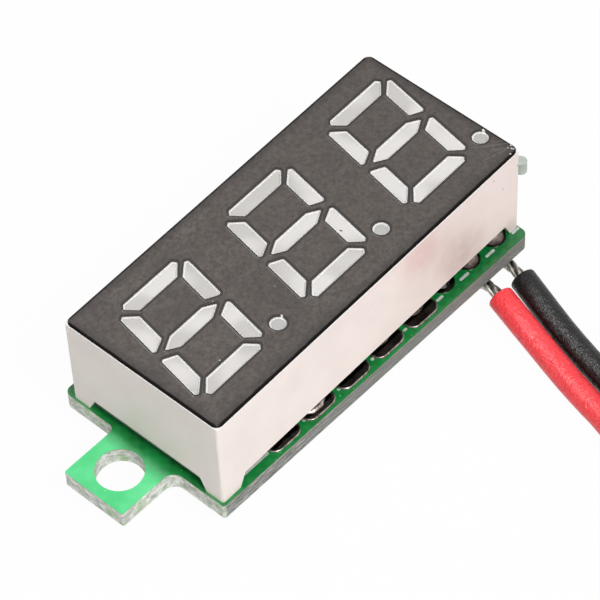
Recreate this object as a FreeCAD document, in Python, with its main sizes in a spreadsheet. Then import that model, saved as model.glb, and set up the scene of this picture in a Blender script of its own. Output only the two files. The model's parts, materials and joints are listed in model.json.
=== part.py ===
import FreeCAD, Part
import Sketcher
import math
import operator
import os
from types import SimpleNamespace

# Digital panel meter: three leaning digits in a white moulded housing on a green board with two ears.
# It lies on its back. X is the reading direction, Y points up the digits and Z comes out of the face.
# The origin is under the middle of the board, at the tips of the display's pins. Lengths are in mm.

sizes = {
    # Housing
    "display_length": 22.5,
    "display_width": 10.0,
    "display_height": 6.1,  # from the feet to the face
    "display_turn": 1.4,  # its pins have play in the board, so it sits a little askew
    "display_up": 0.145,
    "housing_corner": 0.18,
    "long_wall": 0.6,
    "end_wall": 0.4,
    "left_foot": 1.25,  # width of a corner foot where it stands on the board
    "right_foot": 0.65,
    "side_foot": 1.1,
    "foot_flare": 0.4,  # how much wider a foot is at the top of its arch
    "arch_height": 0.88,
    "film_thickness": 0.12,
    "film_inset": 0.03,
    "film_bevel": 0.07,
    "film_corner": 0.4,
    # Digits, measured on the film and before they lean
    "digit_pitch": 7.62,
    "digits_across": 0.12,  # where the middle digit stands, from the middle of the face
    "digits_up": 0.06,
    "digit_height": 6.94,
    "digit_width": 4.86,
    "digit_lean": 10.0,
    "stroke": 0.91,
    "middle_stroke": 0.89,
    "segment_gap": 0.255,
    "window_corner": 0.09,
    "cap_shoulder": 0.68,  # in from the digit's side
    "cap_tip": 0.48,
    "cap_tip_drop": 0.27,
    "side_shoulder_drop": 0.6,
    "side_tip": 0.21,
    "side_tip_drop": 0.46,
    "waist_corner": 0.6,  # up from the digit's middle
    "waist_tip": 0.24,
    "waist_tip_in": 0.17,
    "waist_shoulder": 0.34,
    "middle_shoulder": 1.3,
    "middle_tip": 0.51,
    "point_across": 2.82,
    "point_down": 3.06,
    "point_diameter": 0.88,
    "cavity_taper": 1.5,
    # Inside of the display
    "substrate_thickness": 0.8,
    "substrate_depth": 3.7,  # from the face to the top of the inner board
    "substrate_gap": 0.1,
    "resin_above_arch": 0.07,
    "light_chip_side": 0.22,
    "light_chip_height": 0.12,
    # Board
    "board_beyond": 0.06,  # past each end of the display
    "board_aside": 0.06,  # towards the left
    "board_width": 10.74,
    "board_up": 0.08,
    "board_lean": 1.2,  # its ends aren't quite square to its long sides
    "board_thickness": 1.0,
    "board_lift": 1.8,  # from the pin tips to the board
    "ear_length": 3.51,
    "ear_width": 3.9,
    "ear_up": 0.04,
    "ear_hole_in": 1.84,  # from the ear's end to the middle of its hole
    "ear_hole_diameter": 2.5,
    "ear_root_large": 0.7,
    "ear_root_small": 0.35,
    "left_ear_corner": 0.12,
    "right_ear_corner": 0.5,
    "board_corner": 0.4,
    "board_near_left_corner": 0.15,
    # Pins and plated holes
    "pin_diameter": 0.5,
    "pin_pitch": 2.54,
    "pin_row": 7.62,
    "pin_chamfer": 0.1,
    "pin_play": 0.2,  # round a pin in its plated hole
    "plating": 0.018,
    "pad_thickness": 0.05,
    "pin_pad_width": 2.05,
    "pin_pad_length": 2.77,
    "pin_pad_corner": 0.5,
    "pin_pad_under": 1.5,
    "pin_solder_foot": 0.68,
    "pin_solder_top": 0.85,
    "lead_bore": 0.9,
    "lead_pad": 1.4,
    "lead_hole_in": 1.29,  # from the display's end to the last hole
    "lead_hole_pitch": 1.98,
    "lead_row": 4.06,
    "lead_solder_dome": 0.55,
    "lead_solder_foot": 0.58,
    # Leads
    "strand_diameter": 0.54,
    "strand_bend": 0.5,  # where the strands turn down into their hole
    "strand_sweep": 2.0,  # where they turn into the insulation
    "strand_level": 1.45,
    "strand_rise": 0.25,  # into the solder above the board
    "strand_run": 0.8,  # straight into the insulation
    "lead_diameter": 1.42,
    "lead_length": 150.0,
    "lead_lift": 0.01,  # above the surface that it lies on
    "coil_run_in": 2.9,  # straight run before the first turn
    "lead_heading": -14.86,  # from the Y axis, where the leads run into their coil
    "coil_across": 13.26,
    "coil_down": 23.13,
    "red_coil_radius": 9.15,
    "black_coil_radius": 7.5,
    "coil_clearance": 0.06,
    "turn_rise": 1.47,
    "tip_length": 4.0,
    # Measuring chip
    "controller_length": 4.9,
    "controller_width": 3.9,
    "controller_height": 1.3,
    "controller_standoff": 0.1,
    "controller_draft": 7.0,
    "controller_across": -0.2,
    "controller_mark": 0.5,
    "controller_mark_in": 0.7,
    "controller_mark_depth": 0.05,
    "lead_pitch": 0.635,
    "lead_width": 0.25,
    "lead_thickness": 0.18,
    "lead_span": 6.0,
    "lead_shoulder": 0.3,
    "lead_foot": 0.5,
    # Voltage regulator
    "regulator_across": -8.9,
    "regulator_length": 4.5,
    "regulator_width": 2.5,
    "regulator_height": 1.45,
    "regulator_draft": 5.0,
    "regulator_pitch": 1.5,
    "regulator_lead_width": 0.45,
    "regulator_lead_length": 1.0,
    "regulator_tab_width": 1.65,
    "regulator_tab_length": 0.6,
    "regulator_metal": 0.4,
    # Input diode
    "diode_across": 7.6,
    "diode_up": -1.75,
    "diode_length": 2.7,
    "diode_width": 1.6,
    "diode_height": 1.15,
    "diode_draft": 6.0,
    "diode_lead_width": 0.6,
    "diode_lead_length": 0.5,
    "diode_metal": 0.15,
    # Chip capacitors and resistors, all with their length along Y
    "capacitor_across": -5.0,
    "capacitor_spacing": 2.9,
    "capacitor_length": 2.0,
    "capacitor_width": 1.25,
    "capacitor_height": 0.9,
    "capacitor_end": 0.4,
    "resistor_across": 3.4,
    "resistor_column": 1.3,
    "resistor_spacing": 1.95,
    "resistor_length": 1.6,
    "resistor_width": 0.8,
    "resistor_height": 0.45,
    "resistor_end": 0.3,
    # Trimmer
    "trimmer_across": 8.3,
    "trimmer_up": 1.55,
    "trimmer_length": 3.6,
    "trimmer_width": 3.0,
    "trimmer_height": 0.95,
    "trimmer_corner": 0.2,
    "rotor_diameter": 2.4,
    "rotor_height": 0.46,
    "rotor_proud": 0.05,
    "rotor_side_gap": 0.1,
    "rotor_floor_gap": 0.04,
    "rotor_bevel": 0.06,
    "journal_diameter": 0.8,
    "journal_length": 0.28,
    "journal_gap": 0.05,
    "driver_slot_length": 1.7,
    "driver_slot_width": 0.36,
    "driver_slot_depth": 0.22,
    "terminal_metal": 0.12,
    "terminal_foot": 0.45,
    "terminal_height": 0.55,
    "terminal_width": 0.8,
    "terminal_spacing": 2.0,
    "wiper_terminal_width": 1.6,
}

near_pins = 5
far_pins = 6
lead_holes = 3
wired_holes = {"red": 1, "black": 2}
controller_lead_count = 8  # on each side
digits = (1, 2, 3)

doc = FreeCAD.newDocument("panel_meter")
sheet = doc.addObject("Spreadsheet::Sheet", "Sizes")
for row, (name, value) in enumerate(sizes.items(), 1):
    sheet.set(f"A{row}", name)
    sheet.set(f"B{row}", str(value))
    sheet.setAlias(f"B{row}", name)
doc.recompute()


class Size:
    # A length that knows both its value now and the sheet formula that gives it.
    signs = {"+": operator.add, "-": operator.sub, "*": operator.mul, "/": operator.truediv}

    def __init__(self, formula, value):
        self.formula = formula
        self.value = value

    def joined(self, sign, other):
        other = as_size(other)
        value = self.signs[sign](self.value, other.value)
        return Size(f"({self.formula} {sign} {other.formula})", value)

    def __add__(self, other):
        return self.joined("+", other)

    def __sub__(self, other):
        return self.joined("-", other)

    def __mul__(self, other):
        return self.joined("*", other)

    def __truediv__(self, other):
        return self.joined("/", other)

    def __neg__(self):
        return self.joined("*", -1)


def as_size(number):
    return number if isinstance(number, Size) else Size(f"({number})", float(number))


def slant(run, rise):
    return Size(f"sqrt({run.formula}^2 + {rise.formula}^2)", math.hypot(run.value, rise.value))


def tangent(angle):
    return Size(f"tan({angle.formula})", math.tan(math.radians(angle.value)))


def cosine(angle):
    return Size(f"cos({angle.formula})", math.cos(math.radians(angle.value)))


def sine(angle):
    return Size(f"sin({angle.formula})", math.sin(math.radians(angle.value)))


dim = SimpleNamespace(**{name: Size(f"Sizes.{name}", value) for name, value in sizes.items()})
zero = as_size(0)

# Levels, from the pin tips up
board_under = dim.board_lift
board_top = board_under + dim.board_thickness
pad_under = board_under - dim.pad_thickness
pad_top = board_top + dim.pad_thickness
face = board_top + dim.display_height
housing_top = face - dim.film_thickness
substrate_top = face - dim.substrate_depth
substrate_under = substrate_top - dim.substrate_thickness
arch_top = board_top + dim.arch_height
resin_under = arch_top + dim.resin_above_arch

# Places that several pieces share
cavity_length = dim.display_length - dim.end_wall * 2
cavity_width = dim.display_width - dim.long_wall * 2
cavity_depth = housing_top - substrate_top
first_pin = -(dim.pin_pitch * (far_pins - 1) / 2)
near_row = -(dim.pin_row / 2)
far_row = dim.pin_row / 2
lead_row = -dim.lead_row
pin_radius = dim.pin_diameter / 2
pin_bore = dim.pin_diameter + dim.pin_play * 2
first_lead_hole = dim.display_length / 2 - dim.lead_hole_in - dim.lead_hole_pitch * (lead_holes - 1)

parts = []


def keep(piece, name):
    piece.Label = name
    parts.append(piece)
    return piece


def new_body(name):
    return doc.addObject("PartDesign::Body", f"{name}_body")


def bind(piece, **formulas):
    for path, size in formulas.items():
        piece.setExpression(path.replace("__", "."), as_size(size).formula)


def sketch_on(body, role, across=zero, up=zero, out=zero):
    sketch = body.newObject("Sketcher::SketchObject", "outline")
    plane = next(item for item in body.Origin.OriginFeatures if item.Role == role)
    sketch.AttachmentSupport = [(plane, "")]
    sketch.MapMode = "FlatFace"
    place = FreeCAD.Vector(across.value, up.value, out.value)
    sketch.AttachmentOffset = FreeCAD.Placement(place, FreeCAD.Rotation())
    bind(sketch, AttachmentOffset__Base__x=across, AttachmentOffset__Base__y=up,
         AttachmentOffset__Base__z=out)
    return sketch


def constrain(sketch, size, *words):
    number = sketch.addConstraint(Sketcher.Constraint(*words, size.value))
    sketch.setExpression(f"Constraints[{number}]", size.formula)


def draw(sketch, corners):
    # Each corner is (x, y), or (x, y, centre x, centre y, turn) where the edge that leaves it is an arc
    # that goes anticlockwise for a turn of 1 and clockwise for -1.
    first = sketch.GeometryCount
    corners = [[as_size(number) for number in corner] for corner in corners]
    count = len(corners)
    ends = []
    for corner, following in zip(corners, corners[1:] + corners[:1]):
        start = FreeCAD.Vector(corner[0].value, corner[1].value, 0)
        stop = FreeCAD.Vector(following[0].value, following[1].value, 0)
        if len(corner) == 2:
            sketch.addGeometry(Part.LineSegment(start, stop), False)
            ends.append((1, 2))
            continue
        middle = FreeCAD.Vector(corner[2].value, corner[3].value, 0)
        anticlockwise = corner[4].value > 0
        if not anticlockwise:
            start, stop = stop, start
        angles = [math.atan2(end.y - middle.y, end.x - middle.x) for end in (start, stop)]
        if angles[1] < angles[0]:
            angles[1] += 2 * math.pi
        circle = Part.Circle(middle, FreeCAD.Vector(0, 0, 1), middle.distanceToPoint(start))
        sketch.addGeometry(Part.ArcOfCircle(circle, *angles), False)
        ends.append((1, 2) if anticlockwise else (2, 1))
    for number, corner in enumerate(corners):
        edge = first + number
        following = (number + 1) % count
        meeting = ("Coincident", edge, ends[number][1], first + following, ends[following][0])
        sketch.addConstraint(Sketcher.Constraint(*meeting))
        constrain(sketch, corner[0], "DistanceX", -1, 1, edge, ends[number][0])
        constrain(sketch, corner[1], "DistanceY", -1, 1, edge, ends[number][0])
        if len(corner) == 2:
            continue
        # The two ends leave an arc's centre one freedom, across their chord.
        rise = abs(corners[following][1].value - corner[1].value)
        run = abs(corners[following][0].value - corner[0].value)
        if run > rise:
            constrain(sketch, corner[3], "DistanceY", -1, 1, edge, 3)
        else:
            constrain(sketch, corner[2], "DistanceX", -1, 1, edge, 3)


def draw_circle(sketch, across, up, radius):
    across, up = as_size(across), as_size(up)
    centre = FreeCAD.Vector(across.value, up.value, 0)
    circle = sketch.addGeometry(Part.Circle(centre, FreeCAD.Vector(0, 0, 1), radius.value), False)
    constrain(sketch, across, "DistanceX", -1, 1, circle, 3)
    constrain(sketch, up, "DistanceY", -1, 1, circle, 3)
    constrain(sketch, radius, "Radius", circle)


def rectangle(left, right, low, high):
    return [(left, low), (right, low), (right, high), (left, high)]


def centred(length, width):
    return rectangle(-(length / 2), length / 2, -(width / 2), width / 2)


def with_round_corners(length, width, radius):
    # A centred rectangle, anticlockwise from its right side
    right, high = length / 2, width / 2
    in_x, in_y = right - radius, high - radius
    return [(right, -in_y), (right, in_y, in_x, in_y, 1), (in_x, high), (-in_x, high, -in_x, in_y, 1),
            (-right, in_y), (-right, -in_y, -in_x, -in_y, 1), (-in_x, -high), (in_x, -high, in_x, -in_y, 1)]


def feature(body, kind, sketch, **formulas):
    made = body.newObject(f"PartDesign::{kind}", kind.lower())
    made.Profile = sketch
    bind(made, **formulas)
    body.Tip = made
    doc.recompute()
    return made


def pad(body, sketch, length, taper=None, down=False, both_ways=False):
    made = feature(body, "Pad", sketch, Length=length)
    if taper is not None:
        bind(made, TaperAngle=-taper)
    made.Reversed = down
    made.Midplane = both_ways
    doc.recompute()
    return made


def pocket(body, sketch, depth, taper=None, up=False, both_ways=False):
    before = body.Shape.Volume
    made = feature(body, "Pocket", sketch, Length=depth)
    if taper is not None:
        bind(made, TaperAngle=-taper)
    made.Reversed = up
    made.Midplane = both_ways
    doc.recompute()
    if body.Shape.Volume > before - 1e-7:
        raise RuntimeError(f"a pocket in {body.Name} cuts nothing")
    return made


def revolve(body, sketch, kind="Revolution"):
    made = body.newObject(f"PartDesign::{kind}", "turned")
    made.Profile = sketch
    made.ReferenceAxis = (sketch, ["V_Axis"])
    made.Angle = 360
    body.Tip = made
    doc.recompute()
    return made


def row_of(body, originals, sketch, axis, pitch, count):
    # With no originals the row repeats the whole shape.
    made = body.newObject("PartDesign::LinearPattern", "row")
    made.Originals = originals
    made.TransformMode = "Features" if originals else "Whole shape"
    made.Direction = (sketch, [axis])
    bind(made, Length=pitch * (count - 1))
    made.Occurrences = count
    body.Tip = made
    doc.recompute()
    return made


def round_edges(body, radius, chosen):
    # The seam of a round wall lies on one face only and is left alone.
    shape = body.Shape
    names = [f"Edge{number}" for number, edge in enumerate(shape.Edges, 1)
             if chosen(edge) and len(shape.ancestorsOfType(edge, Part.Face)) == 2]
    before = body.Tip
    made = body.newObject("PartDesign::Fillet", "rounding")
    made.Base = (before, names)
    bind(made, Radius=radius)
    body.Tip = made
    doc.recompute()
    return made


def ends_at(edge, *levels):
    # True for a straight edge whose two ends lie at the two levels
    heights = sorted(vertex.Z for vertex in edge.Vertexes)
    wanted = sorted(level.value for level in levels)
    return len(heights) == 2 and all(abs(a - b) < 1e-4 for a, b in zip(heights, wanted))


def upright_at(edge, spots):
    # True for an upright edge through one of the spots
    low, high = edge.Vertexes[0].Point, edge.Vertexes[-1].Point
    upright = math.dist(low[:2], high[:2]) < 1e-4 and low != high
    return upright and any(math.dist(low[:2], (x.value, y.value)) < 1e-3 for x, y in spots)


def four_spots(across, up):
    return [(across, up), (-across, up), (across, -up), (-across, -up)]


def block(name, across, up, low, length, width, height):
    made = doc.addObject("Part::Box", name)
    bind(made, Length=length, Width=width, Height=height,
         Placement__Base__x=across - length / 2, Placement__Base__y=up - width / 2, Placement__Base__z=low)
    return made


def group(name, pieces):
    made = doc.addObject("Part::Compound", f"{name}_group")
    made.Links = pieces
    doc.recompute()
    return keep(made, name)


def cut_away(name, base, tool):
    made = doc.addObject("Part::Cut", name)
    made.Base, made.Tool = base, tool
    doc.recompute()
    return made


def seat_on_board(piece, across=zero):
    # What belongs to the display is modelled square and takes its turn on the board here.
    piece.Placement = FreeCAD.Placement(FreeCAD.Vector(), FreeCAD.Rotation(dim.display_turn.value, 0, 0))
    bind(piece, Placement__Rotation__Angle=dim.display_turn,
         Placement__Base__x=across * cosine(dim.display_turn),
         Placement__Base__y=dim.display_up + across * sine(dim.display_turn))
    return piece


def turn_under(body, across, up):
    # A piece modelled upwards from the board goes on the board's underside.
    body.Placement = FreeCAD.Placement(FreeCAD.Vector(), FreeCAD.Rotation(FreeCAD.Vector(1, 0, 0), 180))
    bind(body, Placement__Base__x=across, Placement__Base__y=up, Placement__Base__z=board_under)


# Digits


def segment_outlines():
    half_width, half_height = dim.digit_width / 2, dim.digit_height / 2
    inner_across, inner_up = half_width - dim.stroke, half_height - dim.stroke
    mitre = dim.segment_gap * math.sqrt(0.5)
    shoulder, tip = half_width - dim.cap_shoulder, half_width - dim.cap_tip
    tip_up = half_height - dim.cap_tip_drop
    cap = [(shoulder, half_height), (-shoulder, half_height), (-tip, tip_up),
           (mitre - inner_across, inner_up), (inner_across - mitre, inner_up), (tip, tip_up)]
    side = [(half_width, half_height - dim.side_shoulder_drop),
            (half_width - dim.side_tip, half_height - dim.side_tip_drop),
            (inner_across, inner_up - mitre), (inner_across, dim.waist_corner),
            (half_width - dim.waist_tip_in, dim.waist_tip), (half_width, dim.waist_shoulder)]
    flat, point = half_width - dim.middle_shoulder, half_width - dim.middle_tip
    half_bar = dim.middle_stroke / 2
    middle = [(flat, half_bar), (-flat, half_bar), (-point, zero),
              (-flat, -half_bar), (flat, -half_bar), (point, zero)]

    def flipped(outline, across, up):
        return [(x * across, y * up) for x, y in outline]

    return {"a": cap, "b": side, "c": flipped(side, 1, -1), "d": flipped(cap, 1, -1),
            "e": flipped(side, -1, -1), "f": flipped(side, -1, 1), "g": middle}


def segment_middles():
    across, cap_up = (dim.digit_width - dim.stroke) / 2, (dim.digit_height - dim.stroke) / 2
    side_up = dim.digit_height / 4
    return {"a": (zero, cap_up), "b": (across, side_up), "c": (across, -side_up), "d": (zero, -cap_up),
            "e": (-across, -side_up), "f": (-across, side_up), "g": (zero, zero)}


def leaning(across, up):
    return across + up * tangent(dim.digit_lean), up + dim.digits_up


def digit_across(digit):
    return dim.digits_across + dim.digit_pitch * (digit - 2)


point_place = (dim.point_across, dim.digits_up - dim.point_down)
point_radius = dim.point_diameter / 2


def draw_segments(sketch, digit):
    for outline in segment_outlines().values():
        draw(sketch, [(digit_across(digit) + x, y) for x, y in (leaning(*corner) for corner in outline)])


def draw_point_cone(body, across):
    # Half section of the point's tapered cavity, on a sketch whose upright axis is the cavity's
    profile = sketch_on(body, "XZ_Plane", across, zero, -point_place[1])
    narrow = point_radius - cavity_depth * tangent(dim.cavity_taper)
    draw(profile, [(zero, substrate_top), (narrow, substrate_top), (point_radius, housing_top),
                   (zero, housing_top)])
    return profile


def cut_cavities(body):
    # One digit's cavities, repeated across the display
    sketch = sketch_on(body, "XY_Plane", out=housing_top)
    draw_segments(sketch, digits[0])
    cut = pocket(body, sketch, cavity_depth, dim.cavity_taper)
    cone = revolve(body, draw_point_cone(body, digit_across(digits[0]) + point_place[0]), "Groove")
    row_of(body, [cut, cone], sketch, "H_Axis", dim.digit_pitch, len(digits))


def make_window_cutter():
    # One digit's windows as upright bars with rounded corners, repeated across the display
    body = new_body("windows")
    sketch = sketch_on(body, "XY_Plane", out=housing_top - dim.film_thickness)
    draw_segments(sketch, digits[0])
    draw_circle(sketch, digit_across(digits[0]) + point_place[0], point_place[1], point_radius)
    pad(body, sketch, dim.film_thickness * 3)
    low, high = housing_top - dim.film_thickness, face + dim.film_thickness
    round_edges(body, dim.window_corner, lambda edge: ends_at(edge, low, high))
    row_of(body, [], sketch, "H_Axis", dim.digit_pitch, len(digits))
    return body


def make_housing():
    body = new_body("housing")
    base = sketch_on(body, "XY_Plane", out=board_top)
    draw(base, centred(dim.display_length, dim.display_width))
    pad(body, base, housing_top - board_top)
    corners = four_spots(dim.display_length / 2, dim.display_width / 2)
    round_edges(body, dim.housing_corner, lambda edge: upright_at(edge, corners))
    back = sketch_on(body, "XY_Plane", out=board_top)
    draw(back, centred(cavity_length, cavity_width))
    pocket(body, back, substrate_top - board_top, up=True)
    long_arch = sketch_on(body, "XZ_Plane")
    left, right = -(dim.display_length / 2) + dim.left_foot, dim.display_length / 2 - dim.right_foot
    draw(long_arch, [(left, board_top), (right, board_top),
                     (right - dim.foot_flare, arch_top), (left + dim.foot_flare, arch_top)])
    pocket(body, long_arch, dim.display_width * 2, both_ways=True)
    end_arch = sketch_on(body, "YZ_Plane")
    half = dim.display_width / 2 - dim.side_foot
    draw(end_arch, [(-half, board_top), (half, board_top),
                    (half - dim.foot_flare, arch_top), (dim.foot_flare - half, arch_top)])
    pocket(body, end_arch, dim.display_length * 2, both_ways=True)
    cut_cavities(body)
    return keep(seat_on_board(body), "display_shell")


def make_film():
    body = new_body("film")
    base = sketch_on(body, "XY_Plane", out=housing_top)
    draw(base, centred(dim.display_length - dim.film_inset * 2, dim.display_width - dim.film_inset * 2))
    pad(body, base, dim.film_thickness)
    corners = four_spots(dim.display_length / 2 - dim.film_inset, dim.display_width / 2 - dim.film_inset)
    rounded = round_edges(body, dim.film_corner, lambda edge: upright_at(edge, corners))
    rims = [f"Edge{number}" for number, edge in enumerate(body.Shape.Edges, 1) if ends_at(edge, face, face)]
    bevel = body.newObject("PartDesign::Chamfer", "bevel")
    bevel.Base = (rounded, rims)
    bind(bevel, Size=dim.film_bevel)
    body.Tip = bevel
    film = cut_away("film_with_windows", body, make_window_cutter())
    return keep(seat_on_board(film), "face_film")


def make_segment(digit, letter, outline, middle):
    body = new_body(f"digit_{digit}_{letter}")
    if outline is None:
        revolve(body, draw_point_cone(body, middle[0]))
    else:
        front = sketch_on(body, "XY_Plane", out=housing_top)
        draw(front, outline)
        pad(body, front, cavity_depth, dim.cavity_taper, down=True)
    seat = sketch_on(body, "XY_Plane", *middle, substrate_top)
    draw(seat, centred(dim.light_chip_side, dim.light_chip_side))
    pocket(body, seat, dim.light_chip_height, up=True)
    return keep(seat_on_board(body, digit_across(digit)), f"digit_{digit}_{letter}")


def make_segments():
    middles = {letter: leaning(*middle) for letter, middle in segment_middles().items()}
    chips = []
    for digit in digits:
        for letter, outline in segment_outlines().items():
            slanted = [leaning(*corner) for corner in outline]
            make_segment(digit, f"segment_{letter}", slanted, middles[letter])
        make_segment(digit, "point", None, point_place)
        for x, y in [*middles.values(), point_place]:
            chips.append(block("light_chip", digit_across(digit) + x, y, substrate_top,
                               dim.light_chip_side, dim.light_chip_side, dim.light_chip_height))
    seat_on_board(group("led_chips", chips))


# Display pins, the boards that they go through and the resin round them


def pin_rows():
    return [(near_row, near_pins), (far_row, far_pins)]


def cut_pin_rows(body, level, depth, radius, middle=zero):
    # A hole down from the level for each display pin, in rows either side of the middle
    for up, count in pin_rows():
        sketch = sketch_on(body, "XY_Plane", out=level)
        draw_circle(sketch, first_pin, middle + up, radius)
        cut = pocket(body, sketch, depth)
        row_of(body, [cut], sketch, "H_Axis", dim.pin_pitch, count)


def make_substrate():
    body = new_body("substrate")
    base = sketch_on(body, "XY_Plane", out=substrate_under)
    draw(base, centred(cavity_length - dim.substrate_gap * 2, cavity_width - dim.substrate_gap * 2))
    pad(body, base, dim.substrate_thickness)
    cut_pin_rows(body, substrate_top, dim.substrate_thickness, pin_radius)
    return keep(seat_on_board(body), "led_substrate")


def make_resin():
    body = new_body("resin")
    base = sketch_on(body, "XY_Plane", out=resin_under)
    draw(base, centred(cavity_length, cavity_width))
    pad(body, base, substrate_top - resin_under)
    room = sketch_on(body, "XY_Plane", out=substrate_top)
    draw(room, centred(cavity_length - dim.substrate_gap * 2, cavity_width - dim.substrate_gap * 2))
    pocket(body, room, dim.substrate_thickness)
    cut_pin_rows(body, substrate_under, substrate_under - resin_under, pin_radius)
    return keep(seat_on_board(body), "potting_resin")


def make_pins():
    body = new_body("pins")
    for up, count in pin_rows():
        profile = sketch_on(body, "XZ_Plane", first_pin, zero, -up)
        tip = pin_radius - dim.pin_chamfer
        draw(profile, [(zero, zero), (tip, zero), (pin_radius, dim.pin_chamfer),
                       (pin_radius, substrate_top), (zero, substrate_top)])
        turned = revolve(body, profile)
        row_of(body, [turned], profile, "H_Axis", dim.pin_pitch, count)
    return keep(seat_on_board(body), "display_pins")


def make_pin_solder(pins):
    # Fills the bore round each pin and rises round it in a hollow fillet on both sides of the board.
    body = new_body("solder_with_no_pins")
    low, high = dim.pin_solder_foot - pin_radius, dim.pin_solder_top - pin_radius
    for up, count in pin_rows():
        profile = sketch_on(body, "XZ_Plane", first_pin, zero, -(dim.display_up + up))
        draw(profile, [
            (zero, pad_under - low), (pin_radius, pad_under - low, dim.pin_solder_foot, pad_under - low, -1),
            (dim.pin_solder_foot, pad_under), (pin_bore / 2, pad_under), (pin_bore / 2, pad_top),
            (dim.pin_solder_top, pad_top, dim.pin_solder_top, pad_top + high, -1),
            (pin_radius, pad_top + high), (zero, pad_top + high)])
        turned = revolve(body, profile)
        row_of(body, [turned], profile, "H_Axis", dim.pin_pitch, count)
    return keep(cut_away("solder_round_pins", body, pins), "pin_solder")


def make_plating():
    # Copper eyelets: a barrel through the board, a ring under it and a long or round pad on top
    body = new_body("plating")
    longs = (pin_bore, dim.pin_pad_width, dim.pin_pad_length, dim.pin_pad_under, first_pin, dim.pin_pitch)
    rounds = (dim.lead_bore, dim.lead_pad, dim.lead_pad, dim.lead_pad,
              first_lead_hole, dim.lead_hole_pitch)
    rows = [(dim.display_up + near_row, near_pins, longs), (dim.display_up + far_row, far_pins, longs),
            (lead_row, lead_holes, rounds)]
    for up, count, (bore, width, length, ring, across, pitch) in rows:
        profile = sketch_on(body, "XZ_Plane", across, zero, -up)
        draw(profile, [(bore / 2, pad_under), (ring / 2, pad_under), (ring / 2, board_under),
                       (bore / 2 + dim.plating, board_under), (bore / 2 + dim.plating, board_top),
                       (bore / 2, board_top)])
        barrel = revolve(body, profile)
        top = sketch_on(body, "XY_Plane", across, up, board_top)
        if length is width:
            draw_circle(top, zero, zero, width / 2)
        else:
            draw(top, with_round_corners(width, length, dim.pin_pad_corner))
        draw_circle(top, zero, zero, bore / 2)
        row_of(body, [barrel, pad(body, top, dim.pad_thickness)], top, "H_Axis", pitch, count)
    return keep(body, "hole_plating")


def make_board():
    body = new_body("board")
    half = dim.display_length / 2 + dim.board_beyond
    left, right = -half - dim.board_aside, half - dim.board_aside
    low, high = dim.board_up - dim.board_width / 2, dim.board_up + dim.board_width / 2
    left_tip, right_tip = left - dim.ear_length, right + dim.ear_length
    ear_low, ear_high = dim.ear_up - dim.ear_width / 2, dim.ear_up + dim.ear_width / 2

    def leaning_back(*corners):
        return [(x - y * tangent(dim.board_lean), y) for x, y in corners]

    base = sketch_on(body, "XY_Plane", out=board_under)
    draw(base, leaning_back(
        (left, low), (right, low), (right, ear_low), (right_tip, ear_low), (right_tip, ear_high),
        (right, ear_high), (right, high), (left, high), (left, ear_high), (left_tip, ear_high),
        (left_tip, ear_low), (left, ear_low)))
    pad(body, base, dim.board_thickness)
    roundings = [(dim.ear_root_large, leaning_back((right, ear_low), (left, ear_low))),
                 (dim.ear_root_small, leaning_back((right, ear_high), (left, ear_high))),
                 (dim.left_ear_corner, leaning_back((left_tip, ear_low), (left_tip, ear_high))),
                 (dim.right_ear_corner, leaning_back((right_tip, ear_low), (right_tip, ear_high))),
                 (dim.board_corner, leaning_back((right, low), (right, high), (left, high))),
                 (dim.board_near_left_corner, leaning_back((left, low)))]
    for radius, spots in roundings:
        round_edges(body, radius, lambda edge: upright_at(edge, spots))
    ears = sketch_on(body, "XY_Plane", out=board_top)
    for across in (left_tip + dim.ear_hole_in, right_tip - dim.ear_hole_in):
        draw_circle(ears, across, dim.ear_up, dim.ear_hole_diameter / 2)
    pocket(body, ears, dim.board_thickness)
    cut_pin_rows(body, board_top, dim.board_thickness, pin_bore / 2 + dim.plating, dim.display_up)
    leads = sketch_on(body, "XY_Plane", out=board_top)
    draw_circle(leads, first_lead_hole, lead_row, dim.lead_bore / 2 + dim.plating)
    cut = pocket(body, leads, dim.board_thickness)
    row_of(body, [cut], leads, "H_Axis", dim.lead_hole_pitch, lead_holes)
    return keep(body, "circuit_board")


# Parts on the board's underside


def make_controller():
    body = new_body("controller")
    middle = dim.controller_standoff + dim.controller_height / 2
    for down in (False, True):
        half = sketch_on(body, "XY_Plane", out=middle)
        draw(half, centred(dim.controller_length, dim.controller_width))
        pad(body, half, dim.controller_height / 2, dim.controller_draft, down=down)
    mark = sketch_on(body, "XY_Plane", out=dim.controller_standoff + dim.controller_height)
    draw_circle(mark, dim.controller_mark_in - dim.controller_length / 2,
                dim.controller_mark_in - dim.controller_width / 2, dim.controller_mark / 2)
    pocket(body, mark, dim.controller_mark_depth)
    turn_under(body, dim.controller_across, dim.display_up)
    keep(body, "controller_body")

    leads = new_body("controller_leads")
    metal, start, stop = dim.lead_thickness, dim.controller_width / 2, dim.lead_span / 2
    shoulder, heel = start + dim.lead_shoulder, stop - dim.lead_foot
    first = -(dim.lead_pitch * (controller_lead_count - 1) / 2)
    # The inner corners stand back, so that the strip keeps its thickness down the slope.
    run, rise = heel - shoulder, middle - metal / 2
    back = metal * (slant(run, rise) - run) / rise
    for side in (1, -1):
        profile = sketch_on(leads, "YZ_Plane", out=first)
        gull_wing = [(start, middle + metal / 2), (shoulder, middle + metal / 2), (heel, metal),
                     (stop, metal), (stop, zero), (heel - back, zero),
                     (shoulder - back, middle - metal / 2), (start, middle - metal / 2)]
        draw(profile, [(y * side, z) for y, z in gull_wing])
        lead = pad(leads, profile, dim.lead_width, both_ways=True)
        row_of(leads, [lead], profile, "N_Axis", dim.lead_pitch, controller_lead_count)
    turn_under(leads, dim.controller_across, dim.display_up)
    keep(leads, "controller_leads")


def make_drafted(name, length, width, height, draft, across, up):
    body = new_body(name)
    base = sketch_on(body, "XY_Plane")
    draw(base, centred(length, width))
    pad(body, base, height, draft)
    turn_under(body, across, up)
    return keep(body, name)


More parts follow.
